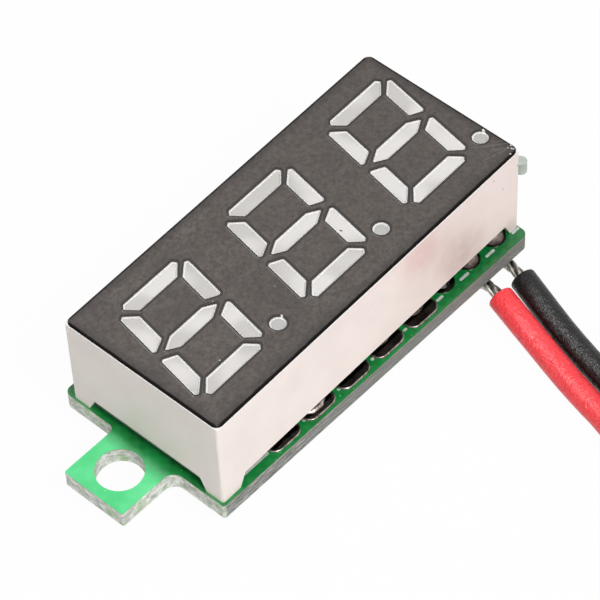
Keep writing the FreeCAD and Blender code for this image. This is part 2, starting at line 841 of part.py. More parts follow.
def make_regulator():
    make_drafted("regulator_body", dim.regulator_width, dim.regulator_length, dim.regulator_height,
                 dim.regulator_draft, dim.regulator_across, zero)
    low = board_under - dim.regulator_metal
    lead_across = dim.regulator_across + (dim.regulator_width + dim.regulator_lead_length) / 2
    metal = [block("regulator_lead", lead_across, dim.regulator_pitch * place, low,
                   dim.regulator_lead_length, dim.regulator_lead_width, dim.regulator_metal)
             for place in (-1, 0, 1)]
    tab_across = dim.regulator_across - (dim.regulator_width + dim.regulator_tab_length) / 2
    metal.append(block("regulator_tab", tab_across, zero, low,
                       dim.regulator_tab_length, dim.regulator_tab_width, dim.regulator_metal))
    group("regulator_leads", metal)


def make_diode():
    make_drafted("diode_body", dim.diode_length, dim.diode_width, dim.diode_height,
                 dim.diode_draft, dim.diode_across, dim.diode_up)
    offset = (dim.diode_length + dim.diode_lead_length) / 2
    group("diode_leads", [block("diode_lead", dim.diode_across + offset * side, dim.diode_up,
                                board_under - dim.diode_metal, dim.diode_lead_length,
                                dim.diode_lead_width, dim.diode_metal) for side in (-1, 1)])


def make_chip_parts():
    ends = []

    def chip_part(name, across, up, length, width, height, end):
        low = board_under - height
        offset = (length - end) / 2
        for side in (-1, 1):
            ends.append(block(f"{name}_end", across, up + offset * side, low, width, end, height))
        return block(name, across, up, low, width, length - end * 2, height)

    group("capacitors", [chip_part("capacitor", dim.capacitor_across, dim.capacitor_spacing / 2 * side,
                                   dim.capacitor_length, dim.capacitor_width, dim.capacitor_height,
                                   dim.capacitor_end) for side in (-1, 1)])
    group("resistors", [chip_part("resistor", dim.resistor_across + dim.resistor_column * column,
                                  dim.resistor_spacing * place, dim.resistor_length, dim.resistor_width,
                                  dim.resistor_height, dim.resistor_end)
                        for column in (0, 1) for place in (-1, 0, 1)])
    group("chip_part_ends", ends)


def make_trimmer():
    base = new_body("trimmer_base")
    foot = sketch_on(base, "XY_Plane")
    draw(foot, centred(dim.trimmer_length, dim.trimmer_width))
    pad(base, foot, dim.trimmer_height)
    corners = four_spots(dim.trimmer_length / 2, dim.trimmer_width / 2)
    round_edges(base, dim.trimmer_corner, lambda edge: upright_at(edge, corners))
    rotor_under = dim.trimmer_height + dim.rotor_proud - dim.rotor_height
    well_floor = rotor_under - dim.rotor_floor_gap
    well = sketch_on(base, "XY_Plane", out=dim.trimmer_height)
    draw_circle(well, zero, zero, dim.rotor_diameter / 2 + dim.rotor_side_gap)
    pocket(base, well, dim.trimmer_height - well_floor)
    bore = sketch_on(base, "XY_Plane", out=well_floor)
    draw_circle(bore, zero, zero, dim.journal_diameter / 2 + dim.journal_gap)
    pocket(base, bore, dim.journal_length)
    turn_under(base, dim.trimmer_across, dim.trimmer_up)
    keep(base, "trimmer_base")

    rotor = new_body("trimmer_rotor")
    profile = sketch_on(rotor, "XZ_Plane")
    journal, rim = dim.journal_diameter / 2, dim.rotor_diameter / 2
    top = rotor_under + dim.rotor_height
    draw(profile, [(zero, rotor_under - dim.journal_length), (journal, rotor_under - dim.journal_length),
                   (journal, rotor_under), (rim, rotor_under), (rim, top - dim.rotor_bevel),
                   (rim - dim.rotor_bevel, top), (zero, top)])
    revolve(rotor, profile)
    cross = sketch_on(rotor, "XY_Plane", out=top)
    arm, half = dim.driver_slot_length / 2, dim.driver_slot_width / 2
    draw(cross, [(arm, -half), (arm, half), (half, half), (half, arm), (-half, arm), (-half, half),
                 (-arm, half), (-arm, -half), (-half, -half), (-half, -arm), (half, -arm), (half, -half)])
    pocket(rotor, cross, dim.driver_slot_depth)
    turn_under(rotor, dim.trimmer_across, dim.trimmer_up)
    keep(rotor, "trimmer_rotor")

    terminals = new_body("trimmer_terminals")
    start, metal = dim.trimmer_width / 2, dim.terminal_metal
    angle = [(start, zero), (start + dim.terminal_foot, zero), (start + dim.terminal_foot, metal),
             (start + metal, metal), (start + metal, dim.terminal_height), (start, dim.terminal_height)]
    half_spacing = dim.terminal_spacing / 2
    places = [(-half_spacing, 1, dim.terminal_width), (half_spacing, 1, dim.terminal_width),
              (zero, -1, dim.wiper_terminal_width)]
    for across, side, width in places:
        profile = sketch_on(terminals, "YZ_Plane", out=across)
        draw(profile, [(y * side, z) for y, z in angle])
        pad(terminals, profile, width, both_ways=True)
    turn_under(terminals, dim.trimmer_across, dim.trimmer_up)
    keep(terminals, "trimmer_terminals")


# Leads


arc_share = 0.45  # of the shorter of the two runs that an arc joins


def route_of(points, radii=None):
    # Straight runs joined by tangent arcs, as large as the runs allow or of the radii that are given
    points = [FreeCAD.Vector(*point) for point in points]
    edges, found, start = [], [], points[0]
    for number in range(1, len(points) - 1):
        before, corner, after = points[number - 1:number + 2]
        come, go = (before - corner), (after - corner)
        half_turn = (math.pi - come.getAngle(go)) / 2
        shorter = min(come.Length, go.Length)
        radius = radii[number - 1] if radii else arc_share * shorter / math.tan(half_turn)
        cut = radius * math.tan(half_turn)
        come.normalize()
        go.normalize()
        first, last = corner + come * cut, corner + go * cut
        inward = (come + go).normalize()
        middle = corner + inward * (radius / math.cos(half_turn) - radius)
        edges.append(Part.LineSegment(start, first).toShape())
        edges.append(Part.Arc(first, middle, last).toShape())
        found.append(radius)
        start = last
    edges.append(Part.LineSegment(start, points[-1]).toShape())
    return Part.Wire(edges), found


def round_bar(name, route, diameter):
    start = route.Edges[0]
    direction = start.tangentAt(start.FirstParameter)
    circle = Part.makeCircle(diameter / 2, start.firstVertex().Point, direction)
    shape = route.makePipeShell([Part.Wire(circle)], True, True)
    expected = math.pi * diameter ** 2 / 4 * route.Length
    if abs(shape.Volume / expected - 1) > 0.01:
        raise RuntimeError(f"{name} is not a clean bar: {shape.Volume} against {expected}")
    made = doc.addObject("Part::Feature", f"{name}_bar")
    made.Shape = shape
    return keep(made, name)


heading = math.radians(sizes["lead_heading"])
along = FreeCAD.Vector(math.sin(heading), -math.cos(heading), 0)
inwards = FreeCAD.Vector(math.cos(heading), math.sin(heading), 0)
coil_middle = FreeCAD.Vector(sizes["coil_across"], -sizes["coil_down"], 0)
rest_height = sizes["lead_diameter"] / 2 + sizes["lead_lift"]

# Hand-picked points of each route, from where the insulation starts to just before the coil
lead_points = {
    "red": [(8.14, -6.16, 1.36), (7.72, -7.94, 1.13), (7.31, -9.74, 0.89), (6.85, -11.54, 0.75),
            (6.45, -13.2, 0.72), (6.02, -15.31, 0.72)],
    "black": [(9.8, -6.22, 1.36), (9.36, -7.87, 1.12), (8.92, -9.5, 0.88), (8.52, -11.15, 0.75),
              (8.13, -12.81, 0.72), (7.71, -14.87, 0.72)],
}


def coil_start(colour):
    spot = coil_middle - inwards * sizes[f"{colour}_coil_radius"]
    return FreeCAD.Vector(spot.x, spot.y, rest_height)


def make_lead(colour):
    hole_across = first_lead_hole.value + sizes["lead_hole_pitch"] * wired_holes[colour]
    hole_up = -sizes["lead_row"]
    level = sizes["strand_level"]
    start, following = [FreeCAD.Vector(*point) for point in lead_points[colour][:2]]
    bend = start + (start - following).normalize() * sizes["strand_run"]
    strand, _ = route_of([(hole_across, hole_up, pad_top.value + sizes["strand_rise"]),
                          (hole_across, hole_up, level), bend, start],
                         [sizes["strand_bend"], sizes["strand_sweep"]])
    round_bar(f"{colour}_strands", strand, sizes["strand_diameter"])

    end = coil_start(colour)
    route, radii = route_of([*lead_points[colour], tuple(end - along * sizes["coil_run_in"]), tuple(end)])
    print(colour, "lead: run", round(route.Length, 2), "radii", [round(radius, 1) for radius in radii])
    round_bar(f"{colour}_lead", route, sizes["lead_diameter"])

    coil_radius = sizes[f"{colour}_coil_radius"]
    turns = (sizes["lead_length"] - route.Length) / (2 * math.pi * coil_radius)
    end_height = rest_height + sizes["turn_rise"] * turns
    print(colour, "coil: turns", round(turns, 3), "end height", round(end_height, 3))
    make_coil(colour, end_height - sizes["strand_diameter"] / 2)

    turned = 2 * math.pi * turns
    tip_angle = sizes["tip_length"] / coil_radius

    def on_ring(angle):
        side = -inwards * math.cos(angle) + along * math.sin(angle)
        return coil_middle + side * coil_radius + FreeCAD.Vector(0, 0, end_height)

    tip = Part.Arc(*[on_ring(turned + tip_angle * share) for share in (0, 0.5, 1)]).toShape()
    round_bar(f"{colour}_lead_tip", Part.Wire(tip), sizes["strand_diameter"])


def make_coil(colour, height):
    # The outer shape of the coiled turns, open at the bottom where the leads run in
    body = new_body(f"{colour}_coil")
    radius = getattr(dim, f"{colour}_coil_radius")
    margin = dim.lead_diameter / 2 + dim.coil_clearance
    profile = sketch_on(body, "XZ_Plane")
    draw(profile, rectangle(radius - margin, radius + margin, zero, as_size(height)))
    revolve(body, profile)
    way_in = sketch_on(body, "XY_Plane")
    outer = -(dim.red_coil_radius + dim.lead_diameter)
    draw(way_in, rectangle(outer, margin - dim.black_coil_radius, zero, dim.red_coil_radius * 2))
    pocket(body, way_in, dim.lead_diameter + dim.coil_clearance, up=True)
    body.Placement = FreeCAD.Placement(coil_middle, FreeCAD.Rotation(sizes["lead_heading"], 0, 0))
    bind(body, Placement__Base__x=dim.coil_across, Placement__Base__y=-dim.coil_down)
    return keep(body, f"{colour}_lead_coil")


def make_lead_solder():
    # A dome over each lead's end, with a sleeve down into its hole
    body = new_body("lead_solder")
    wire, foot, rise = dim.strand_diameter / 2, dim.lead_solder_foot, dim.lead_solder_dome
    radius = (foot * foot + rise * rise) / rise / 2
    wired = sorted(wired_holes.values())
    across = first_lead_hole + dim.lead_hole_pitch * wired[0]
    profile = sketch_on(body, "XZ_Plane", across, zero, -lead_row)
    sleeve_under = dim.strand_level + dim.strand_bend
    wire_end = pad_top + dim.strand_rise
    draw(profile, [(wire, sleeve_under), (dim.lead_bore / 2, sleeve_under), (dim.lead_bore / 2, pad_top),
                   (foot, pad_top, zero, pad_top + rise - radius, 1), (zero, pad_top + rise),
                   (zero, wire_end), (wire, wire_end)])
    turned = revolve(body, profile)
    row_of(body, [turned], profile, "H_Axis", dim.lead_hole_pitch, len(wired))
    return keep(body, "lead_solder")


make_board()
make_plating()
make_housing()
make_film()
make_segments()
make_substrate()
make_resin()
make_pin_solder(make_pins())
make_controller()
make_regulator()
make_diode()
make_chip_parts()
make_trimmer()
make_lead_solder()
for colour in wired_holes:
    make_lead(colour)

doc.recompute()
for item in doc.Objects:
    if {"Invalid", "Error"} & set(item.State):
        raise RuntimeError(f"{item.Name} did not build: {item.State}")
for piece in parts:
    if piece.Shape.isNull() or not piece.Shape.isValid() or not piece.Shape.Solids:
        raise RuntimeError(f"{piece.Label} has no valid solid")
os.makedirs("parts", exist_ok=True)
for piece in parts:
    piece.Shape.exportStep(f"parts/{piece.Label}.step")
print(len(parts), "pieces,", sum(len(piece.Shape.Solids) for piece in parts), "solids")
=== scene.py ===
import bpy
import json
import math
from mathutils import Matrix, Vector


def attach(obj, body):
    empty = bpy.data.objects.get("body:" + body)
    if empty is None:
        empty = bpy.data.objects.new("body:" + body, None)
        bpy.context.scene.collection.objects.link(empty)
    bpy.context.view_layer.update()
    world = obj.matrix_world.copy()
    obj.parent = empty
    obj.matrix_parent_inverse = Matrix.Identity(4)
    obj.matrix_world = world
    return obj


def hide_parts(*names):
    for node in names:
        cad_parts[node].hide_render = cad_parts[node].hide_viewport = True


# Digital panel meter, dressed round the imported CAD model, in the model's own frame. Sizes are written in
# millimetres and become metres in the scene. Only the studio's are written in metres.
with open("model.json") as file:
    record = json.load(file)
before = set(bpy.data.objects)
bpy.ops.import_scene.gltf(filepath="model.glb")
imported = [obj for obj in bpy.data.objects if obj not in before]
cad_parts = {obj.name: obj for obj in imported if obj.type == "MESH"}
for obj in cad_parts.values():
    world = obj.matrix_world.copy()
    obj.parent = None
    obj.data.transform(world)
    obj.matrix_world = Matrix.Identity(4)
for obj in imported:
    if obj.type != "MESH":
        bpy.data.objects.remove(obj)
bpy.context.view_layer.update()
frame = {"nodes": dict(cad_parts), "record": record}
scene = bpy.context.scene
millimetre = 0.001


# Camera

photoCamera = {
    "position": (-74.8464, -75.2052, 140.307),
    "azimuth": -44.83,
    "elevation": 52.16,
    "roll": -3.06,
    "lens": 207.01,
    "sensor": 36.0,
}


def addObject(name, data):
    made = bpy.data.objects.new(name, data)
    scene.collection.objects.link(made)
    return made


def makeCamera():
    data = bpy.data.cameras.new("photoCamera")
    data.lens = photoCamera["lens"]
    data.sensor_width = photoCamera["sensor"]
    data.clip_start = 0.01
    camera = addObject("photoCamera", data)
    turn = (Matrix.Rotation(math.radians(photoCamera["azimuth"]), 4, "Z")
            @ Matrix.Rotation(math.radians(90 - photoCamera["elevation"]), 4, "X")
            @ Matrix.Rotation(math.radians(photoCamera["roll"]), 4, "Z"))
    camera.matrix_world = Matrix.Translation(Vector(photoCamera["position"]) * millimetre) @ turn
    scene.camera = camera


makeCamera()
print("camera ready")


# Leads: each is one cord, laid from the board's edge into a coil beside the meter

leads = {
    "diameter": 1.42,
    "length": 150.0,
    "strandDiameter": 0.54,
    "wiresInStrand": 4,  # round one in the middle
    "wireShare": (0.35, 0.235),  # of the strands' diameter: a wire's distance from the middle and its radius
    "wireSpacing": 0.1,  # between a wire's rings
    "twist": 4.2,  # length of one turn of the strands
    "strandInHole": (3.1, 2.3, 1.62),  # heights on the way down through the hole
    "strandTurn": (0.4, 0.62, 1.44),  # where it turns: share of the way across, step out of the hole, height
    "strandEnds": (0.8, -0.5),  # from the insulation's end, outwards
    "endRounding": 0.1,
    "endRings": (0, 0.06, 0.2, 0.42, 0.7, 1),  # shares of the rounding where its rings stand
    "endClear": 1.3,  # share of the rounding without rings of the route's own
    "heading": -14.86,
    "coilMiddle": (13.26, -23.13),
    "restHeight": 0.72,
    "turnRise": 1.47,
    "pointsEachTurn": 16,
    "runIn": 2.9,
    "tipLength": 4.0,
    "tipPlaces": (-0.2, 0.15, 0.45, 0.75, 1.0),  # shares of its length, from the insulation's end
}
leadRoutes = {
    "red": {
        "hole": (7.98, -4.06),
        "radius": 9.15,
        "turns": 2.346,
        "points": [(8.14, -6.16, 1.36), (7.72, -7.94, 1.13), (7.31, -9.74, 0.89), (6.85, -11.54, 0.75),
                   (6.45, -13.2, 0.72), (6.02, -15.31, 0.72)],
    },
    "black": {
        "hole": (9.96, -4.06),
        "radius": 7.5,
        "turns": 2.854,
        "points": [(9.8, -6.22, 1.36), (9.36, -7.87, 1.12), (8.92, -9.5, 0.88), (8.52, -11.15, 0.75),
                   (8.13, -12.81, 0.72), (7.71, -14.87, 0.72)],
    },
}


def smoothRoute(name, points):
    curve = bpy.data.curves.new(name, "CURVE")
    curve.dimensions = "3D"
    curve.resolution_u = 12
    spline = curve.splines.new("NURBS")
    spline.points.add(len(points) - 1)
    for point, spot in zip(spline.points, points):
        point.co = (*(Vector(spot) * millimetre), 1.0)
    spline.order_u = 3
    spline.use_endpoint_u = True
    return addObject(name, curve)


def plainMesh(maker, name):
    # The evaluated shape as a mesh of its own, in its maker's place
    bpy.context.view_layer.update()
    graph = bpy.context.evaluated_depsgraph_get()
    mesh = bpy.data.meshes.new_from_object(maker.evaluated_get(graph), depsgraph=graph)
    mesh.name = name
    bpy.data.objects.remove(maker)
    return addObject(name, mesh)


def makePiece(name, vertices, faces, material, slotName=None, unit=millimetre):
    mesh = bpy.data.meshes.new(name)
    mesh.from_pydata([tuple(part * unit for part in spot) for spot in vertices], [], faces)
    mesh.materials.append(material)
    piece = addObject(name, mesh)
    if slotName:
        dress(piece)
    return piece


def dress(piece):
    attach(piece, "meter")


def bandFaces(count, rings, first=0, closed=False):
    # From each ring of vertices to the next one, and with closed from the last back to the first
    faces = []
    for ring in range(rings if closed else rings - 1):
        near, far = first + ring * count, first + (ring + 1) % rings * count
        for step in range(count):
            after = (step + 1) % count
            faces.append((near + step, near + after, far + after, far + step))
    return faces


def coilAxes():
    # The way that the leads run into their coil, and the way from there to its middle
    heading = math.radians(leads["heading"])
    along = Vector((math.sin(heading), -math.cos(heading), 0))
    return along, Vector((math.cos(heading), math.sin(heading), 0))


def coilPoint(lead, angle, height):
    along, inwards = coilAxes()
    spread = 1 / math.cos(math.pi / leads["pointsEachTurn"])  # the smooth line cuts inside its points
    arm = (along * math.sin(angle) - inwards * math.cos(angle)) * lead["radius"] * spread
    return Vector((*leads["coilMiddle"], height)) + arm


def leadPoints(lead):
    along = coilAxes()[0]
    start = coilPoint(lead, 0, leads["restHeight"])
    points = [*lead["points"], tuple(start - along * leads["runIn"])]
    steps = round(lead["turns"] * leads["pointsEachTurn"])
    for step in range(steps + 1):
        share = step / steps
        height = leads["restHeight"] + leads["turnRise"] * lead["turns"] * share
        points.append(tuple(coilPoint(lead, 2 * math.pi * lead["turns"] * share, height)))
    return points


def tipPoints(lead):
    angle = 2 * math.pi * lead["turns"]
    height = leads["restHeight"] + leads["turnRise"] * lead["turns"]
    return [tuple(coilPoint(lead, angle + leads["tipLength"] / lead["radius"] * share, height))
            for share in leads["tipPlaces"]]


def strandPoints(lead):
    start, following = Vector(lead["points"][0]), Vector(lead["points"][1])
    back = (start - following).normalized()
    across, up = lead["hole"]
    share, out, height = leads["strandTurn"]
    points = [(across, up, level) for level in leads["strandInHole"]]
    points.append((across * (1 - share) + start.x * share, up - out, height))
    return points + [tuple(start + back * far) for far in leads["strandEnds"]]


def nodeTree(name, inputs):
    # An empty geometry tree with a geometry socket each way and the named inputs
    tree = bpy.data.node_groups.new(name, "GeometryNodeTree")
    tree.interface.new_socket("Geometry", in_out="INPUT", socket_type="NodeSocketGeometry")
    tree.interface.new_socket("Geometry", in_out="OUTPUT", socket_type="NodeSocketGeometry")
    for label, kind in inputs.items():
        tree.interface.new_socket(label, in_out="INPUT", socket_type=f"NodeSocket{kind}")
    given, end = tree.nodes.new("NodeGroupInput"), tree.nodes.new("NodeGroupOutput")
    return tree, given.outputs, end.inputs["Geometry"]


def grown(name, maker, tree, **values):
    # What the tree makes of its maker with these inputs, as a plain mesh in the maker's place
    modifier = maker.modifiers.new(tree.name, "NODES")
    modifier.node_group = tree
    for item in tree.interface.items_tree:
        if item.item_type == "SOCKET" and item.in_out == "INPUT" and item.name in values:
            modifier[item.identifier] = values[item.name]
    return plainMesh(maker, name)


def connect(tree, value, socket):
    # A value, or another node's output
    if isinstance(value, bpy.types.NodeSocket):
        tree.links.new(value, socket)
    else:
        socket.default_value = value


def grow(tree, kind, settings=None, **sockets):
    # One node, its settings, and what goes into its sockets, by name or as at0 and at1 by number
    made = tree.nodes.new(kind)
    for name, value in (settings or {}).items():
        setattr(made, name, value)
    for name, value in sockets.items():
        numbered = name.startswith("at") and name[2:].isdigit()
        connect(tree, value, made.inputs[int(name[2:]) if numbered else name])
    return made


def sums(tree, operation, *values):
    made = tree.nodes.new("ShaderNodeMath")
    made.operation = operation
    for socket, value in zip(made.inputs, values):
        connect(tree, value, socket)
    return made.outputs[0]


def times(tree, first, second):
    return sums(tree, "MULTIPLY", first, second)


def endTree(tree, geometry, material):
    real = grow(tree, "GeometryNodeRealizeInstances", Geometry=geometry)
    return grow(tree, "GeometryNodeSetMaterial", Geometry=real.outputs["Geometry"],
                Material=material).outputs["Geometry"]


def twistedTree():
    tree, given, end = nodeTree("twistedWires", {
        "wires": "Int", "layRadius": "Float", "wireRadius": "Float", "twistLength": "Float",
        "spacing": "Float", "metal": "Material"})
    line = grow(tree, "GeometryNodeResampleCurve", {"mode": "LENGTH"}, Curve=given["Geometry"],
                Length=given["spacing"])
    copies = grow(tree, "GeometryNodeDuplicateElements", {"domain": "SPLINE"}, Geometry=line.outputs["Curve"],
                  Amount=given["wires"])
    step = sums(tree, "DIVIDE", 2 * math.pi, given["wires"])
    own = times(tree, copies.outputs["Duplicate Index"], step)
    far = tree.nodes.new("GeometryNodeSplineParameter").outputs["Length"]
    turned = times(tree, sums(tree, "DIVIDE", far, given["twistLength"]), 2 * math.pi)
    angle = sums(tree, "ADD", own, turned)
    normal = tree.nodes.new("GeometryNodeInputNormal").outputs[0]
    tangent = tree.nodes.new("GeometryNodeInputTangent").outputs[0]
    sideways = grow(tree, "ShaderNodeVectorMath", {"operation": "CROSS_PRODUCT"}, at0=tangent, at1=normal)
    parts = []
    for direction, wave in ((normal, "COSINE"), (sideways.outputs[0], "SINE")):
        reach = times(tree, sums(tree, wave, angle), given["layRadius"])
        parts.append(grow(tree, "ShaderNodeVectorMath", {"operation": "SCALE"}, at0=direction, Scale=reach))
    offset = grow(tree, "ShaderNodeVectorMath", {"operation": "ADD"}, at0=parts[0].outputs[0],
                  at1=parts[1].outputs[0])
    laid = grow(tree, "GeometryNodeSetPosition", Geometry=copies.outputs["Geometry"],
                Offset=offset.outputs[0])
    both = tree.nodes.new("GeometryNodeJoinGeometry")
    tree.links.new(laid.outputs["Geometry"], both.inputs[0])
    tree.links.new(line.outputs["Curve"], both.inputs[0])
    ring = grow(tree, "GeometryNodeCurvePrimitiveCircle", Resolution=10, Radius=given["wireRadius"])
    wires = grow(tree, "GeometryNodeCurveToMesh", Curve=both.outputs["Geometry"],
                 **{"Profile Curve": ring.outputs["Curve"], "Fill Caps": True})
    smooth = grow(tree, "GeometryNodeSetShadeSmooth", Geometry=wires.outputs["Mesh"])
    tree.links.new(endTree(tree, smooth.outputs["Geometry"], given["metal"]), end)
    return tree


def makeStrands(name, points, material, tree):
    lay, wire = (leads["strandDiameter"] * millimetre * share for share in leads["wireShare"])
    return grown(name, smoothRoute(f"{name}Route", points), tree, wires=leads["wiresInStrand"], layRadius=lay,
                 wireRadius=wire, metal=material, twistLength=leads["twist"] * millimetre,
                 spacing=leads["wireSpacing"] * millimetre)


def routeLine(route):
    line = plainMesh(route, f"{route.name}Line")
    points = [vertex.co.copy() for vertex in line.data.vertices]
    bpy.data.objects.remove(line)
    return points


def ringStations(points, radius, rounding):
    # Where each ring of a lead stands, how wide it is and which way the lead runs there
    stations = []
    far = [0.0]
    for before, after in zip(points, points[1:]):
        far.append(far[-1] + (after - before).length)
    total = far[-1]
    ends = [rounding * share for share in leads["endRings"]]
    clear = rounding * leads["endClear"]
    places = ends + [spot for spot in far if clear < spot < total - clear]
    places += [total - spot for spot in reversed(ends)]
    segment = 0
    for spot in places:
        while segment < len(far) - 2 and far[segment + 1] < spot:
            segment += 1
        share = (spot - far[segment]) / (far[segment + 1] - far[segment])
        near = min(spot, total - spot, rounding)
        width = radius - rounding + math.sqrt(max(rounding ** 2 - (rounding - near) ** 2, 0))
        stations.append((points[segment].lerp(points[segment + 1], share), width,
                         (points[segment + 1] - points[segment]).normalized()))
    return stations


def makeSleeve(name, points, material, sides=20):
    # A lead's insulation, swept along the line of its smooth route, with rounded ends
    radius = leads["diameter"] / 2 * millimetre
    stations = ringStations(points, radius, leads["endRounding"] * millimetre)
    vertices = []
    normal = Vector((0, 0, 1)).cross(stations[0][2]).normalized()
    for middle, width, direction in stations:
        normal = (normal - direction * normal.dot(direction)).normalized()
        side = direction.cross(normal)
        for step in range(sides):
            angle = 2 * math.pi * step / sides
            vertices.append(middle + (normal * math.cos(angle) + side * math.sin(angle)) * width)
    faces = bandFaces(sides, len(stations))
    faces.append(tuple(reversed(range(sides))))
    faces.append(tuple(range(len(vertices) - sides, len(vertices))))
    piece = makePiece(name, vertices, faces, material, unit=1)
    piece.data.polygons.foreach_set("use_smooth", [True] * len(faces))
    return piece


# Finishes

def colour(red, green, blue):
    # From the 0 to 255 values that a picture shows
    return tuple((value / 255 / 12.92 if value <= 10 else ((value / 255 + 0.055) / 1.055) ** 2.4)
                 for value in (red, green, blue)) + (1.0,)


def finish(name, **sockets):
    material = bpy.data.materials.new(name)
    material.use_nodes = True
    tree = material.node_tree
    shader = tree.nodes["Principled BSDF"]
    for label, value in sockets.items():
        shader.inputs[label.replace("_", " ")].default_value = value
    return material, tree, shader


def place(tree, scale=(1, 1, 1), middle=(0, 0, 0), turn=0.0):
    # Object coordinates in millimetres, from a middle, turned in the face's plane and stretched
    spot = tree.nodes.new("ShaderNodeTexCoord").outputs["Object"]
    moved = grow(tree, "ShaderNodeVectorMath", {"operation": "SUBTRACT"}, at0=spot,
                 at1=tuple(part * millimetre for part in middle))
    sized = grow(tree, "ShaderNodeVectorMath", {"operation": "SCALE"}, at0=moved.outputs[0], Scale=1000.0)
    turned = grow(tree, "ShaderNodeMapping", {"vector_type": "POINT"}, Vector=sized.outputs[0],
                  Rotation=(0.0, 0.0, math.radians(turn)))
    return grow(tree, "ShaderNodeMapping", {"vector_type": "POINT"}, Vector=turned.outputs[0],
                Scale=scale).outputs[0]


def noise(tree, spot, size, detail, roughness=0.5):
    # Size is that of its largest lumps, in millimetres
    return grow(tree, "ShaderNodeTexNoise", Vector=spot, Scale=1 / size, Detail=detail,
                Roughness=roughness).outputs["Fac"]


def ramp(tree, value, low, high, lowTo=0.0, highTo=1.0):
    made = grow(tree, "ShaderNodeMapRange", {"interpolation_type": "SMOOTHSTEP"}, Value=value)
    for number, amount in enumerate((low, high, lowTo, highTo), 1):
        made.inputs[number].default_value = amount
    return made.outputs[0]


def pattern(tree, spot, size, detail, roughness, low, high, lowTo=0.0, highTo=1.0):
    # Noise, as strong as lowTo below its low level and as highTo above its high one
    return ramp(tree, noise(tree, spot, size, detail, roughness), low, high, lowTo, highTo)


def blend(tree, share, first, second):
    # From the first colour to the second: each is another node's output or three values from 0 to 255
    made = grow(tree, "ShaderNodeMix", {"data_type": "RGBA"}, at0=share)
    for number, value in ((6, first), (7, second)):
        connect(tree, colour(*value) if isinstance(value, tuple) else value, made.inputs[number])
    return made.outputs[2]


def relief(tree, shader, height, depth):
    bump = grow(tree, "ShaderNodeBump", Height=height, Distance=depth * millimetre, Strength=1.0)
    tree.links.new(bump.outputs["Normal"], shader.inputs["Normal"])


def feed(tree, shader, label, value):
    tree.links.new(value, shader.inputs[label])


def unevenShine(tree, shader, spot, size, roughness, detail=4):
    feed(tree, shader, "Roughness", ramp(tree, noise(tree, spot, size, detail), 0.3, 0.7, *roughness))


def axisOf(tree, spot, axis):
    return grow(tree, "ShaderNodeSeparateXYZ", Vector=spot).outputs[axis]


def patch(tree, middle, halfSize, turn=0.0, soft=0.15):
    # 1 inside a small rectangle on the face and 0 outside it
    spot = place(tree, scale=(1 / halfSize[0], 1 / halfSize[1], 0), middle=middle, turn=-turn)
    across = sums(tree, "ABSOLUTE", axisOf(tree, spot, "X"))
    up = sums(tree, "ABSOLUTE", axisOf(tree, spot, "Y"))
    return ramp(tree, sums(tree, "MAXIMUM", across, up), 1 - soft, 1 + soft, 1.0, 0.0)


def disc(tree, middle, radius, soft=0.3, stretch=(1, 1, 0)):
    spot = place(tree, scale=tuple(part / radius for part in stretch), middle=middle)
    far = grow(tree, "ShaderNodeVectorMath", {"operation": "LENGTH"}, at0=spot).outputs["Value"]
    return ramp(tree, far, 1 - soft, 1 + soft, 1.0, 0.0)


def most(tree, masks):
    # The largest of several masks
    found = masks[0]
    for mask in masks[1:]:
        found = sums(tree, "MAXIMUM", found, mask)
    return found


# Display, which sits turned a little on its board

